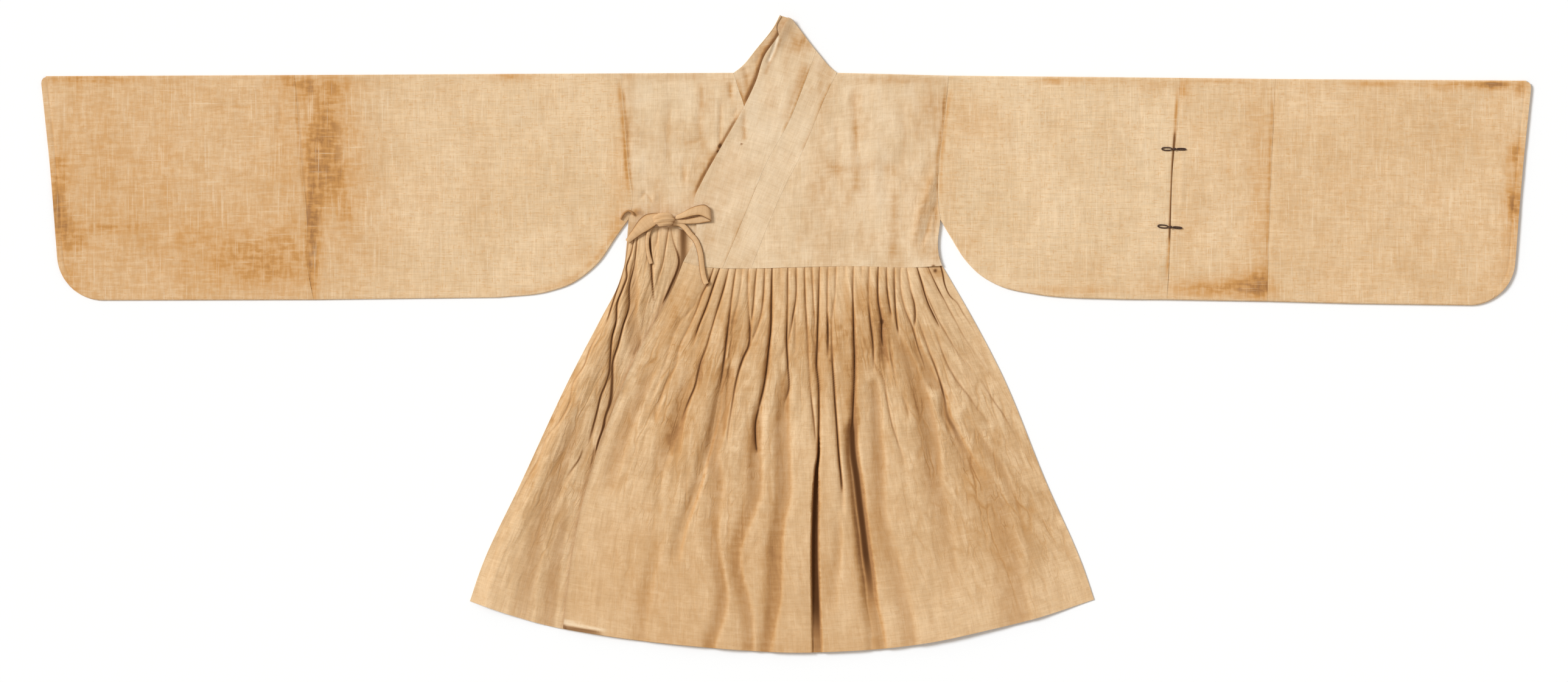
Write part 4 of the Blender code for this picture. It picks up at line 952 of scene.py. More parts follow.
def stretched(tree, vector, scale):
    inputs = {0: vector, 1: (*scale, 1.0)}
    return add_node(tree, "ShaderNodeVectorMath", inputs, operation="MULTIPLY").outputs["Vector"]


def scaled_noise(tree, vector, scale, detail, name, distortion=0.0):
    """Noise read after stretching the first two coordinates by a scale for each."""
    inputs = {"Vector": stretched(tree, vector, scale), "Scale": 1.0, "Detail": detail}
    inputs["Distortion"] = distortion
    return add_node(tree, "ShaderNodeTexNoise", inputs, label=name).outputs["Fac"]


def cell_edges(tree, vector, scale, width, name):
    """Thin lines where stretched cells meet, like the creases of crumpled cloth."""
    inputs = {"Vector": stretched(tree, vector, scale), "Scale": 1.0}
    cells = add_node(tree, "ShaderNodeTexVoronoi", inputs, label=name, feature="DISTANCE_TO_EDGE")
    return remap(tree, cells.outputs["Distance"], 0.0, width, 1.0, 0.0)


def calculate(tree, operation, *values, clamp=False):
    inputs = dict(enumerate(values))
    return add_node(tree, "ShaderNodeMath", inputs, operation=operation, use_clamp=clamp).outputs["Value"]


def remap(tree, value, low, high, to_low=0.0, to_high=1.0):
    inputs = {"Value": value, "From Min": low, "From Max": high, "To Min": to_low, "To Max": to_high}
    return add_node(tree, "ShaderNodeMapRange", inputs, interpolation_type="SMOOTHSTEP").outputs["Result"]


def mix(tree, factor, first, second, blend="MIX"):
    first, second = ((*value, 1.0) if isinstance(value, tuple) else value for value in (first, second))
    looks = {"data_type": "RGBA", "blend_type": blend, "clamp_factor": True}
    return add_node(tree, "ShaderNodeMix", {0: factor, 6: first, 7: second}, **looks).outputs[2]


def bumped(tree, height, strength, distance, under=None):
    """A normal raised by a height, on top of another normal if there is one."""
    inputs = {"Height": height, "Strength": strength, "Distance": distance}
    if under is not None:
        inputs["Normal"] = under
    return add_node(tree, "ShaderNodeBump", inputs).outputs["Normal"]


def weave(tree, threads):
    """Threads of a plain weave: uneven streaks both ways, and the height of each thread."""
    warp = scaled_noise(tree, threads, (470, 22), 2.0, "warp threads")
    weft = scaled_noise(tree, threads, (18, 470), 2.0, "weft threads")
    warp_bands = scaled_noise(tree, threads, (170, 12), 1.0, "warp bands")
    weft_bands = scaled_noise(tree, threads, (10, 170), 1.0, "weft bands")
    cross = scaled_noise(tree, threads, (900, 900), 1.0, "crossings")
    fine = calculate(tree, "ADD", warp, weft)
    broad = calculate(tree, "ADD", warp_bands, weft_bands)
    both = calculate(tree, "MULTIPLY_ADD", broad, 0.35, fine)
    return calculate(tree, "MULTIPLY", both, 0.37), calculate(tree, "MULTIPLY_ADD", cross, 0.5, fine)


def slubs(tree, threads):
    """Short thick threads, darker than the rest, lying both ways, and long pale ones."""
    upright = remap(tree, scaled_noise(tree, threads, (430, 100), 0.0, "upright slubs"), 0.64, 0.80)
    level = remap(tree, scaled_noise(tree, threads, (85, 430), 0.0, "level slubs"), 0.60, 0.78)
    tall = remap(tree, scaled_noise(tree, threads, (300, 11), 1.0, "upright pale threads"), 0.58, 0.76)
    wide = remap(tree, scaled_noise(tree, threads, (14, 300), 1.0, "level pale threads"), 0.62, 0.80)
    return calculate(tree, "MAXIMUM", upright, level), calculate(tree, "MAXIMUM", tall, wide)


def ageing(tree, place, threads):
    """Broad uneven fading, and finer mottling."""
    broad = scaled_noise(tree, place, (6, 7), 5.0, "fading")
    level = scaled_noise(tree, threads, (32, 150), 3.0, "level mottle")
    upright = scaled_noise(tree, threads, (150, 26), 3.0, "upright mottle")
    spots = scaled_noise(tree, place, (75, 80), 4.0, "mottle")
    both = calculate(tree, "ADD", level, upright)
    mottle = calculate(tree, "MULTIPLY_ADD", both, 0.36, calculate(tree, "MULTIPLY", spots, 0.28))
    return remap(tree, broad, 0.32, 0.68), remap(tree, mottle, 0.40, 0.60)


def fine_creases(tree, threads):
    """Fine creases of crumpled cloth, and the small dents between them."""
    bend = add_node(tree, "ShaderNodeTexNoise", {"Vector": threads, "Scale": 24.0, "Detail": 3.0})
    inputs = {0: bend.outputs["Color"], 1: (0.020, 0.05, 0.0), 2: threads}
    bent = add_node(tree, "ShaderNodeVectorMath", inputs, operation="MULTIPLY_ADD").outputs["Vector"]
    long_lines = cell_edges(tree, bent, (45, 10), 0.13, "long creases")
    short_lines = cell_edges(tree, bent, (110, 34), 0.13, "short creases")
    gate = remap(tree, scaled_noise(tree, threads, (22, 11), 2.0, "where creases show"), 0.42, 0.62)
    other = remap(tree, scaled_noise(tree, threads, (40, 24), 2.0, "where short creases show"), 0.46, 0.66)
    long_lines = calculate(tree, "MULTIPLY", long_lines, gate)
    short_lines = calculate(tree, "MULTIPLY", short_lines, calculate(tree, "MULTIPLY", other, 0.7))
    tall = scaled_noise(tree, threads, (50, 20), 3.0, "tall dents", distortion=0.7)
    round_dents = scaled_noise(tree, threads, (62, 60), 2.0, "round dents", distortion=1.2)
    lines = calculate(tree, "MAXIMUM", long_lines, short_lines)
    return lines, calculate(tree, "MULTIPLY_ADD", round_dents, 0.25, tall)


# Each node group's maker, and the names of what it takes and puts out.
GROUPS = {
    "plain weave": (weave, ("Threads",), ("Streaks", "Height")),
    "slubs": (slubs, ("Threads",), ("Slubs", "Pale threads")),
    "ageing": (ageing, ("Place", "Threads"), ("Fading", "Mottle")),
    "fine creases": (fine_creases, ("Threads",), ("Lines", "Dents")),
}


def group_outputs(material_tree, name, *vectors):
    """What a shared node group puts out for these vectors. The group is made when it is first needed."""
    maker, taken, given = GROUPS[name]
    tree = bpy.data.node_groups.get(name)
    if tree is None:
        tree = bpy.data.node_groups.new(name, "ShaderNodeTree")
        for socket in taken:
            tree.interface.new_socket(socket, in_out="INPUT", socket_type="NodeSocketVector")
        for socket in given:
            tree.interface.new_socket(socket, in_out="OUTPUT", socket_type="NodeSocketFloat")
        entry, result = tree.nodes.new("NodeGroupInput"), tree.nodes.new("NodeGroupOutput")
        values = maker(tree, *(entry.outputs[socket] for socket in taken))
        for socket, value in zip(given, values):
            tree.links.new(value, result.inputs[socket])
    node = add_node(material_tree, "ShaderNodeGroup", node_tree=tree)
    for socket, vector in zip(taken, vectors):
        material_tree.links.new(vector, node.inputs[socket])
    return [node.outputs[socket] for socket in given]


def new_material(name, **values):
    """A material, its node tree and its shader with these values."""
    made = bpy.data.materials.new(name)
    made.use_nodes = True
    shader = made.node_tree.nodes["Principled BSDF"]
    for key, value in values.items():
        shader.inputs[key.replace("_", " ")].default_value = value
    return made, made.node_tree, shader


# How much lighter than its colour new cloth is, and the tints of faded cloth and of pale threads.
LIGHT_SHARE = 1.05
FADED_TINT = (1.03, 0.98, 0.90)
PALE_TINT = (1.12, 1.20, 1.32)
# Depths of the dents between creases and of the threads.
DENT_DEPTH = 0.004
THREAD_DEPTH = 0.0004
# Each cloth's colour and stain colour, how dark it fades, and how strongly each effect shows. One effect is
# shade painted into the low parts of the dents of crumpled cloth, which also pales their high parts.
CLOTH_LOOKS = {
    "body_cloth": ("body_colour", "stain_and_shade_colour", {
        "fade": 0.85, "streak": 0.08, "slub": 0.16, "pale": 0.18, "dents": 0.8, "dent_shade": 0.16,
    }),
    "sleeve_cloth": ("sleeve_colour", "sleeve_stain_and_shade_colour", {
        "fade": 0.87, "streak": 0.11, "slub": 0.34, "pale": 0.34, "dents": 0.4, "dent_shade": 0.16, "blotch": 0.52,
    }),
    "skirt_cloth": ("skirt_colour", "stain_and_shade_colour", {
        "streak": 0.09, "slub": 0.25, "pale": 0.12, "dents": 0.4, "dent_shade": 0.22, "grain": 0.36, "blotch": 0.3,
    }),
    "tie_cloth": ("tie_colour", "stain_and_shade_colour", {"slub": 0.1, "pale": 0.0, "bump": 0.3}),
}
USUAL_LOOK = {
    "fade": 0.86, "streak": 0.1, "slub": 0.2, "pale": 0.1, "bump": 0.4, "dents": 0.3, "dent_shade": 0.12,
    "grain": 0.4, "blotch": 0.5,
}


def cloth_material(slot):
    """Aged ramie with its weave, fading, stains, soil and fine creases, and shade painted into its folds,
    dents and creases.
    """
    name = slot.replace("_", " ")
    found = bpy.data.materials.get(name)
    if found:
        return found
    colour_name, stain_name, strengths = CLOTH_LOOKS[slot]
    look = USUAL_LOOK | strengths
    colour, stain_and_shade_colour = tuple(getattr(settings(), colour_name)), tuple(getattr(settings(), stain_name))
    deep_stain_and_shade, spot_and_fold_shade = tuple(settings().deep_stain_and_shade_colour), tuple(settings().spot_and_fold_shade_colour)
    dent_shade, grain, streak, blotch = look["dent_shade"], look["grain"], look["streak"], look["blotch"]
    made, tree, shader = new_material(
        name, Roughness=0.86, Specular_IOR_Level=0.22, Sheen_Weight=0.12, Sheen_Roughness=0.45
    )
    threads = add_node(tree, "ShaderNodeUVMap", uv_map="threads").outputs["UV"]
    place = tree.nodes.new("ShaderNodeTexCoord").outputs["Object"]
    stain, soil, pale, crumple = (
        add_node(tree, "ShaderNodeAttribute", attribute_name=mask).outputs["Fac"]
        for mask in ("stain", "soil", "pale", "crumple")
    )
    streaks, thread_height = group_outputs(tree, "plain weave", threads)
    slub, pale_threads = group_outputs(tree, "slubs", threads)
    fading, mottle = group_outputs(tree, "ageing", place, threads)
    crease_lines, dents = group_outputs(tree, "fine creases", threads)

    light = tuple(min(1.0, value * LIGHT_SHARE) for value in colour)
    dark = tuple(value * look["fade"] * share for value, share in zip(colour, FADED_TINT))
    lighter = tuple(min(1.0, value * share) for value, share in zip(colour, PALE_TINT))
    faded = calculate(tree, "MULTIPLY_ADD", mottle, grain, calculate(tree, "MULTIPLY", fading, 1.0 - grain))
    base = mix(tree, faded, light, dark)
    shade = remap(tree, streaks, 0.36, 0.64, 1.0 - streak, 1.0 + streak * 0.4)
    base = mix(tree, 1.0, base, shade, "MULTIPLY")
    # Painted shade and light on the dents: low parts darker and browner, high parts paler, most where the
    # cloth is crumpled.
    crumpled = calculate(tree, "MULTIPLY_ADD", crumple, 0.75, 0.25, clamp=True)
    raised = remap(tree, dents, 0.42, 0.83, 1.0, 0.0)
    sunk = calculate(tree, "SUBTRACT", 1.0, calculate(tree, "MULTIPLY", raised, crumpled))
    dent_shading = mix(tree, sunk, (1.0 - dent_shade, 1.0 - 1.4 * dent_shade, 1.0 - 1.9 * dent_shade), (1.0 + 0.3 * dent_shade,) * 3)
    base = mix(tree, 1.0, base, dent_shading, "MULTIPLY")
    mottled = calculate(tree, "MULTIPLY_ADD", mottle, blotch, 1.0 - blotch / 2)
    # Painted shade in the fine creases of crumpled cloth, which turns them towards the stain colour.
    lines = calculate(tree, "MULTIPLY", crease_lines, crumple)
    amount = calculate(tree, "MULTIPLY_ADD", lines, 0.6, calculate(tree, "MULTIPLY", stain, mottled))
    base = mix(tree, amount, base, stain_and_shade_colour)
    base = mix(tree, remap(tree, amount, 0.75, 1.7, 0.0, 0.9), base, deep_stain_and_shade)
    # The pale mask holds paler cloth and highlights painted along ridges.
    base = mix(tree, pale, base, lighter)
    base = mix(tree, calculate(tree, "MULTIPLY", pale_threads, look["pale"]), base, lighter)
    base = mix(tree, calculate(tree, "MULTIPLY", slub, look["slub"]), base, stain_and_shade_colour)
    # Soil and painted shade darken the cloth. The strongest painted shade, in deep folds and gaps, and the
    # dark spots near the deep fold colour.
    base = mix(tree, remap(tree, soil, 0.0, 0.75, 0.0, 0.9), base, deep_stain_and_shade)
    base = mix(tree, remap(tree, soil, 0.3, 1.0), base, spot_and_fold_shade)
    tree.links.new(base, shader.inputs["Base Color"])

    depth = calculate(tree, "MULTIPLY_ADD", lines, -0.30, calculate(tree, "MULTIPLY", dents, crumpled))
    dented = bumped(tree, depth, look["dents"], DENT_DEPTH)
    threaded = bumped(tree, thread_height, look["bump"], THREAD_DEPTH, dented)
    tree.links.new(threaded, shader.inputs["Normal"])
    return made


def cord_material():
    """Dark twisted cord."""
    found = bpy.data.materials.get("toggle cord")
    if found:
        return found
    made, tree, shader = new_material("toggle cord", Roughness=0.75, Specular_IOR_Level=0.3)
    place = tree.nodes.new("ShaderNodeTexCoord").outputs["Object"]
    inputs = {"Vector": place, "Scale": 420.0, "Distortion": 2.0}
    strands = add_node(tree, "ShaderNodeTexWave", inputs, bands_direction="DIAGONAL").outputs["Fac"]
    colour = tuple(settings().cord_colour)
    base = mix(tree, strands, colour, tuple(value * 2.2 for value in colour))
    tree.links.new(base, shader.inputs["Base Color"])
    tree.links.new(bumped(tree, strands, 0.8, 0.0003), shader.inputs["Normal"])
    return made


# ---------------------------------------------------------------- sleeves and body


# How far round each corner of a cuff its arc starts and ends, in degrees from +Y.
TOP_TURN = (22, 90)
LOW_TURN = (94, 178)
# The stitched line inside a cuff's opening: depth, half width, and how far in.
CUFF_HEM = (0.5, 1.6)
CUFF_HEM_GAP = 11


def corner_arc(x, y, radius, facing, turn):
    """Points of a round corner."""
    start, end = (90 - facing * degrees for degrees in turn)
    angles = np.radians(np.linspace(start, end, 40))
    return np.column_stack([x + radius * np.cos(angles), y + radius * np.sin(angles)])


def cuff_lines(cuff, facing, corner, seam_foot):
    """A cuff's opening as far as half-way round its lower corner, its lower edge, and its stitched hem."""
    small = CUFF_TOP_RADIUS
    top = corner_arc(cuff["upper_x"] - facing * small, cuff["top"] - small, small, facing, TOP_TURN)
    low_x, low_y = cuff["lower_x"] - facing * CUFF_RADIUS, cuff["lower"] + CUFF_RADIUS
    low = corner_arc(low_x, low_y, CUFF_RADIUS, facing, LOW_TURN)
    half = len(low) // 2
    middle = smooth_line((top[-1], cuff["middle"], low[0]), 60)
    opening = np.vstack([top, middle[1:-1], low[: half + 1]])
    hem = (*CUFF_HEM, inside_line(opening, -facing * CUFF_HEM_GAP)[6:-4:4], "even")
    return opening, np.vstack([low[half:], corner, seam_foot]), hem


def inside_line(line, gap):
    """A line kept this far to one side of another."""
    run = np.gradient(line, axis=0)
    run /= np.linalg.norm(run, axis=1)[:, None]
    return line + np.column_stack([-run[:, 1], run[:, 0]]) * gap


def edge_dip(x, left, right):
    """A small valley at each seam, to be taken from the height of the cloth."""
    dip = np.zeros(x.shape)
    if left:
        dip += bell(x - x[:, :1], SEAM_REACH)
    if right:
        dip += bell(x[:, -1:] - x, SEAM_REACH)
    return dip


def quiet_edges(rows, tube):
    """A share that is 0 at the folds and 1 away from them, for each row."""
    place = np.linspace(0, 1, rows)
    share = smoothstep(place / QUIET_SHARE)
    if tube:
        share = share * smoothstep((1 - place) / QUIET_SHARE)
    return share[:, None]


def flat_masks(x, y, node, dark):
    """How stained, soiled, pale and crumpled a flat piece is at each point, with shade painted into creases,
    shadow painted beside raised edges and in a slit, and highlights painted along ridges.
    """
    clouds = layered(x, y, FLAT_CLOUDS, FLAT_CLOUD_SEED)
    cloudy = SLEEVE_CLOUDY if "sleeve" in node else BODY_CLOUDY
    soil = np.clip(0.5 * dark + 0.9 * spotted(x, y, node) + painted(x, y, node, "soil"), 0, 1)
    if "collar" in node:
        soil = np.maximum(soil, COLLAR_SOIL)
    stain = np.clip(patched(x, y, STAINS.get(node, ())) + dark + painted(x, y, node, "stain"), 0, MOST_STAIN)
    return {
        "stain": stain + cloudy * np.clip(clouds, 0, 1),
        "soil": soil,
        "pale": np.clip(painted(x, y, node, "pale") + cloudy * np.clip(-clouds - 0.2, 0, 1), 0, 1),
        "crumple": patched(x, y, CRUMPLES.get(node, ())),
    }


def folded_piece(node, slot, front, back, high, seams, creases, seed):
    """A width of a sleeve, or half of the body, folded at the shoulder. Seams says which sides have one."""
    tube = slot == "sleeve_cloth"
    x, y = front[:, :, 0], front[:, :, 1]
    lift, dark = pressed(x, y, creases)
    quiet = quiet_edges(len(front), tube)
    lift = (lift + (1.0 if tube else BODY_WAVE) * rippled(x, y, seed)) * quiet
    lift -= SEAM_DEPTH * edge_dip(x, *seams) * quiet
    masks = flat_masks(x, y, node, dark)
    made = folded_sheet(f"{node}_cloth", front, back, high, BACK_Z, lift, masks, tube)
    return finish_piece(made, node, slot)


def make_tube(node, left, right, lower, size, high, seams, creases, seed):
    """One width of a sleeve. Size is its length along the arm and its depth, in millimetres."""
    columns, rows = steps_for(size[0], SLEEVE_FINE), steps_for(size[1])
    front, back = (
        even_grid(left, right, None, lower, columns, count, SLEEVE_CROWD) for count in (rows, HIDDEN_ROWS)
    )
    return folded_piece(node, "sleeve_cloth", front, back, high, seams, creases, seed)


def make_sleeves():
    opening, lower, hem = cuff_lines(RIGHT_CUFF, -1, RIGHT_CUFF_LOWER, RIGHT_SLEEVE_SEAM[-1])
    seam = smooth_line(RIGHT_SLEEVE_SEAM)
    make_tube(
        "right_sleeve_outer", opening, seam, lower, (450, 398), INNER_Z, (False, True),
        (*RIGHT_SLEEVE_CREASES, hem), 11,
    )
    lower = np.vstack([RIGHT_SLEEVE_SEAM[-1], smooth_line(RIGHT_UNDERARM)])
    make_tube(
        "right_sleeve_inner", seam, smooth_line(RIGHT_ARMHOLE), lower, (580, 398), INNER_Z, (True, True),
        RIGHT_SLEEVE_CREASES, 21,
    )
    slit, seam = smooth_line(LEFT_SLEEVE_SLIT), smooth_line(LEFT_SLEEVE_SEAM)
    make_tube(
        "left_sleeve_inner", smooth_line(LEFT_ARMHOLE), slit, smooth_line(LEFT_UNDERARM), (420, 392), OUTER_Z,
        (True, True), LEFT_SLEEVE_CREASES, 31,
    )
    make_tube(
        "left_sleeve_middle", slit, seam, None, (170, 392), OUTER_Z, (True, True), LEFT_SLEEVE_CREASES, 41,
    )
    opening, lower, hem = cuff_lines(LEFT_CUFF, 1, LEFT_CUFF_LOWER, LEFT_SLEEVE_SEAM[-1])
    make_tube(
        "left_sleeve_outer", seam, opening, lower[::-1], (450, 398), OUTER_Z, (True, False), (hem,), 51,
    )


def make_bodies():
    """The two halves of the body, front and back in one, folded at the shoulder and parted at the back."""
    neck = smooth_line(BACK_NECKLINE)
    middle = len(neck) // 2
    armhole = smooth_line(RIGHT_ARMHOLE)
    columns, rows = steps_for(230, FINE), steps_for(330, FINE)
    front_side, front_edge = np.vstack([armhole, INNER_WAIST[0]]), smooth_line(INNER_COLLAR_SEAM)
    front = even_grid(front_side, front_edge, None, smooth_line(INNER_WAIST[:5]), columns, rows)
    back_side = np.vstack([armhole, smooth_line(RIGHT_BODY_SIDE)[1:]])
    back_middle = np.vstack([neck[: middle + 1], BACK_SEAM_FOOT])
    back = even_grid(back_side, back_middle, None, None, columns, HIDDEN_ROWS)
    folded_piece(
        "right_body", "body_cloth", front, back, INNER_Z, (True, False), RIGHT_BODY_CREASES, 61,
    )
    side = np.vstack([smooth_line(LEFT_ARMHOLE), smooth_line(LEFT_BODY_SIDE)[1:]])
    columns, rows = steps_for(300, FINE), steps_for(345, FINE)
    front = even_grid(smooth_line(BORDER_SEAM), side, None, smooth_line(OUTER_WAIST[3:]), columns, rows)
    back_middle = np.vstack([neck[middle:][::-1], BACK_SEAM_FOOT])
    back = even_grid(back_middle, side, None, None, columns, HIDDEN_ROWS)
    folded_piece(
        "left_body", "body_cloth", front, back, OUTER_Z, (False, True), LEFT_BODY_CREASES, 71,
    )


# ---------------------------------------------------------------- collar


def flat_piece(node, left, right, lower, size, level, creases, seed, *, upper=None, rise=None):
    """A piece of the collar. Size is its columns and its length in millimetres, and rise lifts it."""
    points = even_grid(left, right, upper, lower, size[0], steps_for(size[1], FINE))
    x, y = points[:, :, 0], points[:, :, 1]
    lift, dark = pressed(x, y, creases)
    height = level + lift + BODY_WAVE * rippled(x, y, seed)
    if rise is not None:
        height = height + rise(x, y)
    direction = np.asarray(right[-1]) - np.asarray(right[0])
    direction = direction / np.linalg.norm(direction)
    uvs = np.dstack([x * -direction[1] + y * direction[0], x * direction[0] + y * direction[1]])
    made = open_sheet(f"{node}_cloth", np.dstack([points, height]), uvs, flat_masks(x, y, node, dark))
    return finish_piece(made, node, "body_cloth")


# The height and reach of the collar's doubled front edge, and of the part that stands up beside the neck.
COLLAR_EDGE = (0.0010, 0.010)
COLLAR_OPENING = (0.0045, 0.014)


def collar_rise(x, y):
    """The collar is doubled cloth, and its front edge stands up beside the neck."""
    gap, place = distance_to(x, y, OUTER_COLLAR_EDGE[:5])
    height, reach = COLLAR_OPENING
    opening = height * bell(gap, reach) * (1 - smoothstep((place - 0.15) / 0.55))
    gap, _ = distance_to(x, y, OUTER_COLLAR_EDGE)
    height, reach = COLLAR_EDGE
    return height * bell(gap, reach) + opening


def make_collar():
    right_slope, left_slope = smooth_line(RIGHT_NECK_SLOPE), smooth_line(LEFT_NECK_SLOPE)
    make_back_collar(right_slope, left_slope, smooth_line(BACK_NECKLINE))
    left = np.vstack([right_slope, smooth_line(INNER_COLLAR_SEAM)[1:]])
    flat_piece(
        "inner_collar", left, smooth_line(INNER_COLLAR_EDGE), None, (30, 440), INNER_Z,
        INNER_COLLAR_CREASES, 61,
    )
    right = np.vstack([left_slope[: len(left_slope) * 2 // 5], smooth_line(COLLAR_SEAM)])
    flat_piece(
        "outer_collar", smooth_line(OUTER_COLLAR_EDGE, 400), right, smooth_line(OUTER_WAIST[:3]), (42, 560),
        OUTER_Z, OUTER_COLLAR_CREASES, 71, rise=collar_rise,
    )
    flat_piece(
        "outer_collar_border", smooth_line(COLLAR_SEAM), smooth_line(BORDER_SEAM), None, (22, 420), OUTER_Z,
        (), 71, upper=smooth_line(LEFT_NECK_SLOPE[2:]),
    )


def turned_up(edge, facing, high):
    """Columns of a half-round fold that turns an edge up to a height, after drawing the edge in."""
    radius = (high - BACK_Z) / 2
    edge[:, 0] -= facing * radius
    columns = []
    for step in range(1, FOLD_STEPS):
        angle = math.pi * step / FOLD_STEPS
        columns.append(edge + radius * np.array([facing * math.sin(angle), 0.0, 1 - math.cos(angle)]))
    return np.stack(columns, axis=1)


def make_back_collar(right_slope, left_slope, neck):
    """The collar behind the neck, with both sloping edges turned up to meet its front ends."""
    points = even_grid(right_slope, left_slope, None, neck, 22, 22, inset=0.0)
    middle = np.dstack([points, np.full(points.shape[:2], BACK_Z)])
    right_lip = turned_up(middle[:, 0], -1, INNER_Z)[:, ::-1]
    left_lip = turned_up(middle[:, -1], 1, OUTER_Z)
    whole = np.concatenate([right_lip, middle, left_lip], axis=1)
    faces = grid_faces(grid_ids(whole.shape))
    uvs = whole.reshape(-1, 3)[faces][:, :, :2]
    masks = flat_masks(whole[:, :, 0], whole[:, :, 1], "back_collar", np.zeros(whole.shape[:2]))
    made = cloth_wall(mesh_object("back_collar_cloth", whole, faces, uvs, masks))
    return finish_piece(
        made, "back_collar", "body_cloth"
    )


# ---------------------------------------------------------------- skirts


# The distances over which a pleat fades at its lower and its upper end.
LOWER_END = 0.022
UPPER_END = 0.014
# How columns crowd beside a pleat: how much, from what depth fully, and how far in its half widths.
CROWDING = 2.6
CROWD_DEPTH = 0.003
CROWD_REACH = 1.15
LEAST_CROWD_WIDTH = 0.0022
DENSITY_STEPS = 700


def pleat_tracks(pleats):
    """For each pleat: its x for any y, and its depth and width there, all in metres."""
    tracks = []
    for pleat in pleats:
        table = np.asarray(pleat, float)
        line = smooth_line(table[:, :2], 160)[::-1] * MM
        rows = table[np.argsort(table[:, 1])] * MM
        tracks.append(
            {
                "y": line[:, 1],
                "x": line[:, 0],
                "slope": np.gradient(line[:, 0], line[:, 1]),
                "rows": rows[:, 1],
                "depth": rows[:, 2],
                "width": rows[:, 3],
            }
        )
    return tracks


def at_pleat(track, x, y):
    """Signed distance from a pleat, and its depth and width, at each point."""
    lean = np.interp(y, track["y"], track["slope"])
    away = (x - np.interp(y, track["y"], track["x"])) / np.sqrt(1 + lean**2)
    low, high = track["rows"][0], track["rows"][-1]
    taper = smoothstep((y - low) / LOWER_END) * smoothstep((high - y) / UPPER_END)
    depth = np.interp(y, track["rows"], track["depth"]) * taper
    return away, depth, np.interp(y, track["rows"], track["width"])


def crowded(edges, columns, down, tracks, base=None):
    """Shares across each row that crowd beside the pleats, and where the base density is high."""
    fine = np.tile(np.linspace(0, 1, DENSITY_STEPS), (len(down), 1))
    points = fill(*edges, fine, down)
    x, y = points[:, :, 0], points[:, :, 1]
    density = np.ones(x.shape) if base is None else base(x, y)
    for track in tracks:
        away, depth, width = at_pleat(track, x, y)
        reach = np.maximum(width, LEAST_CROWD_WIDTH) * CROWD_REACH
        density += CROWDING * np.clip(depth / CROWD_DEPTH, 0, 1) * bell(away, reach)
    pad = CROWD_ROWS // 2
    held = np.pad(density, ((pad, pad), (0, 0)), mode="edge")
    density = sum(held[k : k + len(down)] for k in range(CROWD_ROWS)) / CROWD_ROWS
    total = np.cumsum(density, axis=1)
    total = (total - total[:, :1]) / (total[:, -1:] - total[:, :1])
    wanted = np.linspace(0, 1, columns + 1)
    return np.array([np.interp(wanted, row, fine[0]) for row in total])


def trough(away, width):
    """The shape of a wide fold: its side towards +X is steep and the other side is long."""
    return np.where(away > 0, bell(away, 1.05 * width, 4), bell(away, 1.5 * width))


# A sharp pleat's two sides: reach as times its half width, reach added in metres, and how fast it falls.
STEEP_SIDE = (1.25, 0.0, 1.5)
LONG_SIDE = (1.9, 0.002, 2.3)
SHARP_SHARE = 0.62
# The half widths over which a sharp pleat turns into a wide fold, as a start and a stretch.
BROAD_FROM = (0.0040, 0.0025)
# Depths over which shade is painted along a sharp pleat, a wide fold and a slit, in the same way.
THIN_DARK = (0.0006, 0.0048)
WIDE_DARK = (0.0045, 0.0065)
SLIT_DARK = (0.0, 0.011)


def pleat_side(away, width, step, side):
    reach, added, power = side
    return np.clip(1 - away / (width * reach + added + 0.5 * step), 0, 1) ** power


def ramp(value, stretch):
    """From 0 to 1 over a stretch that is given by its start and its length."""
    return np.clip((value - stretch[0]) / stretch[1], 0, 1)


def pleated(x, y, sharp, soft, slits=()):
    """How deep the pleats cut at each point, how deep the valleys do, and how much shade is painted along the
    pleats.
    """
    cut, broad, dark = np.zeros(x.shape), np.zeros(x.shape), np.zeros(x.shape)
    gap = np.abs(np.gradient(x, axis=1))
    for track in slits:
        away, depth, width = at_pleat(track, x, y)
        cut = np.maximum(cut, depth * bell(away, width, 8))
        dark = np.maximum(dark, ramp(depth, SLIT_DARK) * bell(away, width, 6))
    for track in sharp:
        away, depth, width = at_pleat(track, x, y)
        step = np.hypot(gap, np.clip(np.abs(np.gradient(away, axis=0)), 0, 0.004))
        right, left = pleat_side(away, width, step, STEEP_SIDE), pleat_side(-away, width, step, LONG_SIDE)
        broadness = smoothstep(ramp(width, BROAD_FROM))
        sharp_cut = SHARP_SHARE * np.where(away > 0, right, left)
        cut = np.maximum(cut, depth * (sharp_cut + (trough(away, width) - sharp_cut) * broadness))
        line_width = np.hypot(0.40 * width + 0.0005, 0.5 * step)
        thin = ramp(depth, THIN_DARK) * bell(away, line_width)
        wide = ramp(depth, WIDE_DARK) * bell(np.abs(away), 0.85 * width, 3)
        dark = np.maximum(dark, thin + (wide - thin) * broadness)
    for track in soft:
        away, depth, width = at_pleat(track, x, y)
        broad = np.maximum(broad, depth * trough(away, width))
    return cut, broad, dark


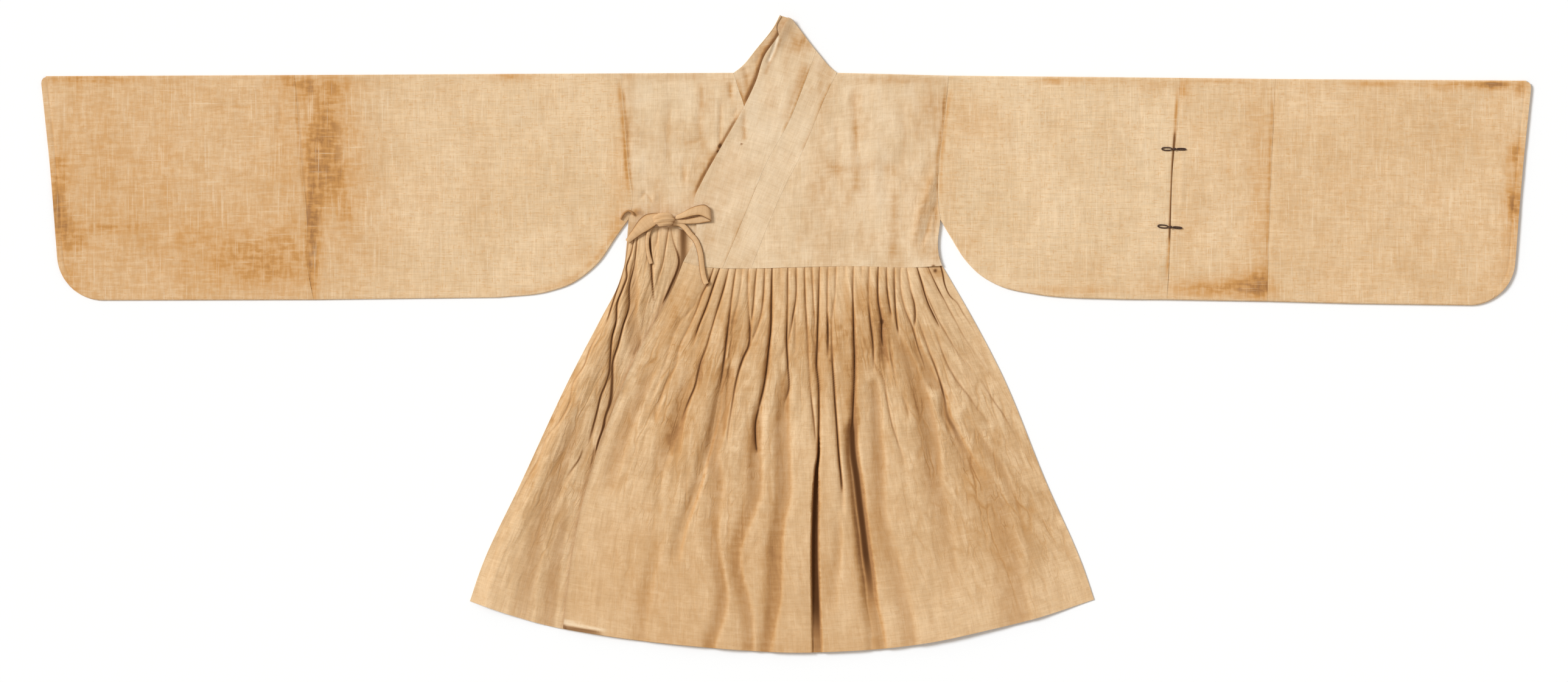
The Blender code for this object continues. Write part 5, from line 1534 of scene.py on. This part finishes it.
def skirt_masks(x, y, node, dark, cut):
    # Painted shade: the deeper a pleat or valley cuts, the darker and browner the cloth, on top of the
    # pleats' dark lines.
    shade = np.clip(cut / 0.0065, 0, 1)
    soil = np.maximum(0.97 * dark, 0.30 * shade) + 0.9 * spotted(x, y, node) + painted(x, y, node, "soil")
    clouds = np.clip(layered(x, y, SKIRT_CLOUDS, SKIRT_CLOUD_SEED), 0, 1)
    clouds *= 0.10 + 0.34 * smoothstep((y + 0.35) / 0.30)
    clouds *= 1 - 0.6 * smoothstep((x - 0.20) / 0.15)
    return {
        "crumple": patched(x, y, CRUMPLES.get(node, ())),
        "stain": np.clip(patched(x, y, STAINS.get(node, ())) + 0.45 * shade + clouds, 0, MOST_STAIN),
        "soil": np.clip(soil, 0, 1),
        "pale": np.zeros(x.shape),
    }


def slope_shade(x, height):
    """Painted shade: the steep sides of folds are made browner."""
    steep = np.abs(np.gradient(height, axis=1)) / np.maximum(np.abs(np.gradient(x, axis=1)), 0.0003)
    return 0.62 * smoothstep(steep / 1.1)


def fan_noise(across, down, width, seed):
    """Fine drawn ripples that run down the skirt."""
    return layered(across * width, down * SKIRT_DEPTH, SKIRT_RIPPLES, seed)


def skirt_grid(edges, across, down):
    """The skirt's points, their x and y, and each one's share of the way down."""
    points = fill(*edges, across, down)
    return points, points[:, :, 0], points[:, :, 1], np.tile(down[:, None], (1, across.shape[1]))


def raised_side(height, share):
    """The height of the cloth, brought down to the coat's side edge where the share is 0."""
    return SIDE_EDGE_Z + (height - SIDE_EDGE_Z) * smoothstep(share)


def skirt_piece(node, points, height, across, down, width, masks):
    uvs = np.dstack([across * width, SKIRT_DEPTH * (1 - down)])
    made = open_sheet(f"{node}_cloth", np.dstack([points, height]), uvs, masks)
    return finish_piece(made, node, "skirt_cloth")


def make_outer_skirt():
    """The wearer's left front skirt, on top, with its pleats where they lie."""
    node = "left_front_skirt"
    down = np.linspace(0, 1, settings().skirt_rows + 1) ** 1.12
    hem = between(smooth_line(HEM, 600), OUTER_SKIRT_EDGE[-1][0], HEM[-1][0])
    edges = smooth_line(OUTER_SKIRT_EDGE), smooth_line(SKIRT_LEFT_SIDE), smooth_line(OUTER_WAIST), hem
    sharp, soft, slits = pleat_tracks(OUTER_PLEATS), pleat_tracks(OUTER_VALLEYS), pleat_tracks(OUTER_SLITS)
    across = crowded(edges, settings().skirt_columns, down, sharp + slits)
    points, x, y, v = skirt_grid(edges, across, down)
    points[0, :, 1] -= SEAM_INSET
    cut, broad, dark = pleated(x, y, sharp, soft, slits)
    crest, floor_z = np.interp(v, *OUTER_CREST), np.interp(v, *OUTER_FLOOR)
    front_edge = np.interp(v, *OUTER_FRONT_EDGE)
    share = 1 - (1 - np.interp(across, *OUTER_FULLNESS)) * smoothstep(v / 0.12)
    share *= front_edge + (1 - front_edge) * smoothstep(across / 0.34)
    ripples = RIPPLE_HEIGHT * fan_noise(across, v, OUTER_CLOTH, OUTER_SEEDS["ripples"]) * smoothstep(v / 0.05)
    ripples *= 1 - 0.6 * smoothstep((v - 0.25) / 0.35)
    swell = noise(across * OUTER_CLOTH, v * SKIRT_DEPTH, 0.07, 0.11, OUTER_SEEDS["swell"])
    ripples += SWELL_HEIGHT * swell * smoothstep(v / 0.2)
    broad = broad * (1 - 0.3 * smoothstep((v - 0.4) / 0.3))
    height = floor_z + (crest - floor_z) * share + ripples - cut - broad
    uneven = fan_noise(across, v, OUTER_CLOTH, OUTER_SEEDS["floor"])
    lowest = floor_z - 0.0004 + OUTER_UNEVEN * uneven * smoothstep(v / 0.1)
    height = np.maximum(height, np.maximum(lowest, floor_z - 0.0006))
    height = raised_side(height, (1 - across) / 0.14)
    masks = skirt_masks(x, y, node, dark, np.maximum(cut, 2.4 * broad))
    pale = masks["pale"] = turned_hem(x, y)
    soil = np.clip(masks["soil"] + 0.08 * hem_line(x, y, hem), 0, 1)
    # Painted shadow just below the hem's turned corner.
    soil = np.maximum(soil, 0.6 * turned_hem(x, y + 0.007)) * (1 - pale)
    # Painted shade along the top skirt's front edge.
    masks["soil"] = soil + 0.30 * bell(across * OUTER_CLOTH, 0.004) * smoothstep(v / 0.1)
    # Painted shade browns the steep sides of folds.
    masks["stain"] = (masks["stain"] + slope_shade(x, height)) * (1 - 0.8 * pale)
    return skirt_piece(
        node, points, height + 0.0006 * pale, across, v, OUTER_CLOTH, masks,
    )


# The hem's turned corner: its two ends, where its edges are measured from, and each edge's place and slope.
TURNED_ENDS = (-0.3960, -0.312)
TURNED_X = -0.393
TURNED_UPPER = (-0.5050, 0.22)
TURNED_LOWER = (-0.5175, 0.15)
TURNED_SOFT = 0.0025


def turned_hem(x, y):
    """Where the hem's turned corner shows its paler side."""
    inside = smoothstep((x - TURNED_ENDS[0]) / 0.002) * smoothstep((TURNED_ENDS[1] - x) / 0.02)
    upper, lower = (place - slope * (x - TURNED_X) for place, slope in (TURNED_UPPER, TURNED_LOWER))
    return inside * smoothstep((upper - y) / TURNED_SOFT) * smoothstep((y - lower) / TURNED_SOFT)


HEM_STITCH = {"up": 0.012, "reach": 0.0022}


def hem_line(x, y, hem):
    """A faint line of stitches above the hem."""
    gap, _ = distance_to(x, y, hem[::20])
    return bell(gap - HEM_STITCH["up"], HEM_STITCH["reach"])


def edge_behind(y):
    """The x of the top skirt's front edge at each y, in metres."""
    edge = smooth_line(OUTER_SKIRT_EDGE)[::-1] * MM
    return np.interp(y, edge[:, 1], edge[:, 0])


def where_inner_shows(x, y):
    """High where the right front skirt shows beside the top one."""
    return 0.2 + 0.8 * smoothstep((edge_behind(y) + 0.03 - x) / 0.03)


def make_inner_skirt():
    """The wearer's right front skirt, which shows at the side and lies flat under the top one."""
    node = "right_front_skirt"
    columns, rows = INNER_GRID
    down = np.linspace(0, 1, rows + 1) ** 1.1
    hem = between(smooth_line(HEM, 600), HEM[0][0], INNER_SKIRT_EDGE[-1][0])
    edges = smooth_line(INNER_SKIRT_SIDE), smooth_line(INNER_SKIRT_EDGE), smooth_line(INNER_WAIST), hem
    sharp, soft = pleat_tracks(INNER_PLEATS), pleat_tracks(INNER_VALLEYS)
    across = crowded(edges, columns, down, sharp, where_inner_shows)
    points, x, y, v = skirt_grid(edges, across, down)
    points[0, :, 1] -= SEAM_INSET
    cut, broad, dark = pleated(x, y, sharp, soft)
    edge = edge_behind(y)
    shown = smoothstep((edge - 0.002 - x) / np.interp(v, *INNER_FADE))
    ripples = RIPPLE_HEIGHT * fan_noise(across, v, INNER_CLOTH, INNER_SEEDS["ripples"]) * smoothstep(v / 0.05)
    hidden = INNER_LOW_Z + INNER_UNEVEN * fan_noise(across, v, INNER_CLOTH, INNER_SEEDS["floor"])
    height = np.maximum(np.interp(v, *INNER_CREST) + ripples - cut - broad, INNER_LOW_Z + 0.0002)
    height = np.clip(hidden + (height - hidden) * shown, INNER_Z, None)
    waist_z = INNER_Z + 0.0006
    height = waist_z + (height - waist_z) * (0.35 + 0.65 * smoothstep(v / 0.02))
    height = raised_side(height, across / 0.045)
    seen = smoothstep((edge - 0.001 - x) / 0.004)
    masks = skirt_masks(x, y, node, dark * seen, np.maximum(cut, 2.4 * broad) * seen)
    # Shadow painted beside the top skirt's front edge, and shade painted on steep sides.
    masks["soil"] = np.clip(masks["soil"] + bell(edge - x, 0.010) * np.interp(v, *EDGE_SHADOW), 0, 1)
    masks["stain"] = 0.35 * masks["stain"] + 0.65 * slope_shade(x, height)
    return skirt_piece(
        node, points, height, across, v, INNER_CLOTH, masks
    )


def make_back_skirt():
    """The back skirt, pressed flat under the coat, with soft pleats."""
    node = "back_skirt"
    columns, rows = BACK_GRID
    sides = smooth_line(SKIRT_RIGHT_SIDE), smooth_line(SKIRT_LEFT_SIDE)
    edges = *sides, smooth_line(BACK_WAIST), smooth_line(HEM, 600)
    across = np.tile(np.linspace(0, 1, columns + 1), (rows + 1, 1))
    points, x, y, v = skirt_grid(edges, across, np.linspace(0, 1, rows + 1))
    drift = 0.25 * noise(across * BACK_CLOTH, v * SKIRT_DEPTH, 0.3, 0.25, BACK_SEED)
    phase = (across * BACK_PLEATS + drift) % 1.0
    rise = smoothstep((phase - 0.45) / 0.35) * (1 - smoothstep((phase - 0.9) / 0.1))
    inside = smoothstep(np.minimum(across, 1 - across) / 0.13)
    height = settings().cloth_thickness / 2 + BACK_GAP + np.interp(v, *BACK_RISE) * rise * inside
    masks = skirt_masks(x, y, node, np.zeros(x.shape), np.zeros(x.shape))
    return skirt_piece(node, points, height, across, v, BACK_CLOTH, masks)


# ---------------------------------------------------------------- tie, toggles and loop


def ribbon(name, middle, sides, widths, curl, thickness, across=8):
    """A ribbon along a middle line. Sides point to its upper edge, and curl bows it up along its middle."""
    share = np.linspace(-1, 1, across + 1)
    points = middle[:, None] + sides[:, None] * (widths[:, None, None] / 2) * share[None, :, None]
    points[:, :, 2] += curl * (1 - share[None] ** 2)
    rows, columns = points.shape[:2]
    faces = grid_faces(grid_ids(points.shape))
    run = np.tile(chord_lengths(middle)[:, None], (1, columns))
    uvs = np.dstack([np.tile(share, (rows, 1)) * widths[:, None] / 2, run])
    edge = np.tile(np.abs(share), (rows, 1))
    # Painted shade at the ribbon's edges: browner towards them and darkest right at them.
    masks = {"stain": 0.15 + 0.9 * edge**4, "soil": 0.75 * edge**8}
    made = mesh_object(name, points, faces, uvs.reshape(-1, 2)[faces], masks)
    return solid_wall(made, thickness, rounded=True)


def table_ribbon(name, table, curl, thickness):
    """A ribbon whose table gives its middle, height, width and lean."""
    dense = smooth_line(table, 46)
    lean = np.radians(dense[:, 4])
    sides = np.column_stack([np.cos(lean), np.sin(lean), np.zeros(len(lean))])
    return ribbon(name, dense[:, :3] * MM, sides, dense[:, 3] * MM, curl, thickness)


def even_ribbon(name, table, width, curl, thickness):
    """A ribbon of one width along the line that its table gives."""
    middle = smooth_line(table, 50) * MM
    run = np.gradient(middle, axis=0)
    sides = np.column_stack([-run[:, 1], run[:, 0], np.zeros(len(run))])
    sides /= np.linalg.norm(sides, axis=1)[:, None]
    return ribbon(name, middle, sides, np.full(len(middle), width), curl, thickness, across=6)


def make_knot():
    """The tie's knot: a soft flattened ball, wrapped by ridges of cloth."""
    knot, places = ball("tie_knot", 64, 32, 1.0)
    u, w = turned(places[:, 0], places[:, 1], math.radians(TIE_KNOT["turn"]))
    wrap = 0.07 * np.cos(9 * w + 2.5 * u**2) + 0.03 * np.cos(21 * w + 3 * u)
    shaped = places * (1 + wrap * (1 - 0.4 * np.abs(u)))[:, None]
    reshape(knot, shaped * np.array(TIE_KNOT["radii"]) + np.array(TIE_KNOT["centre"]))
    # Painted shade in the grooves of the knot's wrapping: darker and browner there.
    groove = np.clip(-wrap * 6, 0, 1)
    add_masks(knot.data, {"stain": 0.25 + 0.4 * groove, "soil": 0.5 * groove, "pale": np.zeros(len(groove))})
    knot.data.uv_layers[0].name = "threads"
    return knot


def make_tie():
    """The bow at the right side: knot, loop, band and two narrow ends."""
    loop = table_ribbon("tie_loop", TIE_LOOP, CURLS["loop"], RIBBON_CLOTH)
    tail = even_ribbon("tie_tail", TIE_TAIL, TAIL_WIDTH, CURLS["tail"], RIBBON_CLOTH)
    strand = even_ribbon("tie_strand", TIE_STRAND, STRAND_WIDTH, CURLS["strand"], RIBBON_CLOTH)
    knot = make_knot()
    band = table_ribbon("tie_band", TIE_BAND, CURLS["band"], BAND_CLOTH)
    for piece, node in ((loop, "bow_loop"), (tail, "bow_tail"), (strand, "bow_strand"), (knot, "bow_knot")):
        finish_piece(piece, node, "tie_cloth")
    finish_piece(
        band, "bow_band", "tie_cloth",
        with_pieces=(loop, tail, strand, knot),
    )


def cord(name, points, radius, cyclic):
    """A round cord along a smooth line, turned into a mesh."""
    curve = bpy.data.curves.new(name, "CURVE")
    curve.dimensions = "3D"
    curve.bevel_depth = radius
    curve.bevel_resolution = 4
    curve.use_fill_caps = not cyclic
    spline = curve.splines.new("POLY")
    spline.points.add(len(points) - 1)
    for point, place in zip(spline.points, points):
        point.co = (*place, 1.0)
    spline.use_cyclic_u = cyclic
    made = bpy.data.objects.new(name, curve)
    bpy.context.scene.collection.objects.link(made)
    select_only(made)
    bpy.ops.object.convert(target="MESH")
    made = bpy.context.active_object
    made.data.shade_smooth()
    return made


def oval(centre, turn, length, width, count, reach_z):
    """Points of a long ring lying along a turned X axis."""
    angles = np.linspace(0, 2 * math.pi, count, endpoint=False)
    along_x = length / 2 * np.sign(np.cos(angles)) * np.abs(np.cos(angles)) ** 0.7
    x, y = turned(along_x, width / 2 * np.sin(angles), turn)
    return np.column_stack([centre[0] + x, centre[1] + y, centre[2] + reach_z * np.cos(2 * angles)])


def make_toggles():
    """Each toggle is a loop of cord, a knot that it passes round, and the knot's doubled stem."""
    rest = OUTER_Z + settings().cloth_thickness / 2 + TOGGLE_GAP + TOGGLE_RADIUS
    for toggle in TOGGLES:
        node, turn = toggle["node"], math.radians(toggle["turn"])
        for part, reach, length, width in TOGGLE_RINGS:
            x, y = turned(reach, 0.0, turn)
            centre = (toggle["x"] + x, toggle["y"] + y, rest + RING_WAVE)
            ring = oval(centre, turn, length, width, RING_POINTS, RING_WAVE)
            made = cord(f"{node}_{part}_cord", ring, TOGGLE_RADIUS, True)
            finish_piece(made, f"{node}_{part}", "toggle_cord")
        finish_piece(toggle_knot(toggle, turn, rest), f"{node}_knot", "toggle_cord")


def toggle_knot(toggle, turn, rest):
    """A round button knot with crossing ridges."""
    knot, places = ball(f"{toggle['node']}_knot_cord", 32, 16, TOGGLE_KNOT["radius"])
    around = np.arctan2(places[:, 1], places[:, 0])
    ridge = 1 + 0.09 * np.cos(4 * around + 900 * places[:, 2])
    shaped = places * ridge[:, None] * np.array(TOGGLE_KNOT["shape"])
    x, y = turned(shaped[:, 0], shaped[:, 1], turn)
    place = np.array([toggle["x"], toggle["y"], rest + TOGGLE_KNOT["rise"]])
    reshape(knot, np.column_stack([x, y, shaped[:, 2]]) + place)
    return knot


def make_underarm_loop():
    """The bound loop at the right armpit, bunched and brown."""
    line = smooth_line(UNDERARM_LOOP, 40) * MM
    line[:, 2] += 0.0004 * np.sin(np.linspace(0, 9, len(line)))
    made = cord("underarm_loop_cloth", line, UNDERARM_RADIUS, False)
    count = len(made.data.vertices)
    add_masks(made.data, {mask: np.full(count, value) for mask, value in UNDERARM_MASKS.items()})
    if not made.data.uv_layers:
        made.data.uv_layers.new(name="threads")
    made.data.uv_layers[0].name = "threads"
    return finish_piece(made, "underarm_loop", "tie_cloth")


# ---------------------------------------------------------------- stage


FLOOR_SIZE = 14.0
FILL_COLOUR = (1.0, 0.93, 0.85, 1.0)
# The main light's colour, how wide it looks and how it is turned, in degrees.
KEY_COLOUR = (0.98, 1.05, 1.13)
KEY_ANGLE = 20
KEY_TURN = (-22, -50, 0)
# The camera looks straight down from here. Its lens and sensor are in millimetres.
CAMERA_PLACE = (-0.0038, -0.0124, 7.715)
CAMERA_LENS = 100.0
CAMERA_SENSOR = 36.0
CAMERA_REACH = 50.0


def make_stage():
    """A plain pale floor, soft light from the upper left, and a camera straight above."""
    scene = bpy.context.scene
    scene.view_settings.view_transform = "Standard"
    bpy.ops.object.select_all(action="DESELECT")
    bpy.ops.mesh.primitive_plane_add(size=FLOOR_SIZE)
    floor = bpy.context.active_object
    floor.name = floor.data.name = "floor"
    pale, _, _ = new_material(
        "pale floor", Base_Color=(*settings().floor_colour, 1.0), Roughness=1.0, Specular_IOR_Level=0.0
    )
    floor.data.materials.append(pale)

    world = bpy.data.worlds.new("studio")
    world.use_nodes = True
    background = world.node_tree.nodes["Background"]
    background.inputs["Color"].default_value = FILL_COLOUR
    background.inputs["Strength"].default_value = settings().fill_strength
    scene.world = world

    key = bpy.data.lights.new("key", "SUN")
    key.energy = settings().key_strength
    key.angle = math.radians(KEY_ANGLE)
    key.color = KEY_COLOUR
    lamp = bpy.data.objects.new("key", key)
    lamp.rotation_euler = [math.radians(turn) for turn in KEY_TURN]
    scene.collection.objects.link(lamp)

    lens = bpy.data.cameras.new("camera")
    lens.sensor_width = CAMERA_SENSOR
    lens.lens = CAMERA_LENS
    lens.clip_end = CAMERA_REACH
    camera = bpy.data.objects.new("camera", lens)
    camera.location = CAMERA_PLACE
    scene.collection.objects.link(camera)
    scene.camera = camera


# ---------------------------------------------------------------- operators and panel


class COAT_OT_sleeves(bpy.types.Operator):
    """Make the five widths of the two sleeves"""

    bl_idname = "coat.sleeves"
    bl_label = "Sleeves"

    def execute(self, context):
        make_sleeves()
        return {"FINISHED"}


class COAT_OT_body(bpy.types.Operator):
    """Make the two halves of the body"""

    bl_idname = "coat.body"
    bl_label = "Body"

    def execute(self, context):
        make_bodies()
        return {"FINISHED"}


class COAT_OT_collar(bpy.types.Operator):
    """Make the four pieces of the collar"""

    bl_idname = "coat.collar"
    bl_label = "Collar"

    def execute(self, context):
        make_collar()
        return {"FINISHED"}


class COAT_OT_skirts(bpy.types.Operator):
    """Make the back skirt and the two front skirts"""

    bl_idname = "coat.skirts"
    bl_label = "Skirts"

    def execute(self, context):
        make_back_skirt()
        make_inner_skirt()
        make_outer_skirt()
        return {"FINISHED"}


class COAT_OT_tie(bpy.types.Operator):
    """Make the tie's knot, loop, band and ends"""

    bl_idname = "coat.tie"
    bl_label = "Tie"

    def execute(self, context):
        make_tie()
        return {"FINISHED"}


class COAT_OT_toggles(bpy.types.Operator):
    """Make the two corded toggles"""

    bl_idname = "coat.toggles"
    bl_label = "Toggles"

    def execute(self, context):
        make_toggles()
        return {"FINISHED"}


class COAT_OT_underarm_loop(bpy.types.Operator):
    """Make the bound loop at the right armpit"""

    bl_idname = "coat.underarm_loop"
    bl_label = "Underarm Loop"

    def execute(self, context):
        make_underarm_loop()
        return {"FINISHED"}


class COAT_OT_stage(bpy.types.Operator):
    """Set the floor, the lights and the camera"""

    bl_idname = "coat.stage"
    bl_label = "Stage"

    def execute(self, context):
        make_stage()
        return {"FINISHED"}


STEPS = ("sleeves", "body", "collar", "skirts", "tie", "toggles", "underarm_loop", "stage")


class COAT_PT_panel(bpy.types.Panel):
    """The coat's settings and steps"""

    bl_idname = "COAT_PT_panel"
    bl_label = "Pleated Coat"
    bl_space_type = "VIEW_3D"
    bl_region_type = "UI"
    bl_category = "Coat"

    def draw(self, context):
        for name in CoatSettings.__annotations__:
            self.layout.prop(context.scene.coat, name)
        for step in STEPS:
            self.layout.operator(f"coat.{step}")


CLASSES = (
    CoatSettings, COAT_OT_sleeves, COAT_OT_body, COAT_OT_collar, COAT_OT_skirts, COAT_OT_tie, COAT_OT_toggles,
    COAT_OT_underarm_loop, COAT_OT_stage, COAT_PT_panel,
)


def register():
    for made in CLASSES:
        bpy.utils.register_class(made)
    bpy.types.Scene.coat = bpy.props.PointerProperty(type=CoatSettings)


def unregister():
    del bpy.types.Scene.coat
    for made in reversed(CLASSES):
        bpy.utils.unregister_class(made)


def main():
    register()
    for step in STEPS:
        getattr(bpy.ops.coat, step)()


if __name__ == "__main__":
    main()
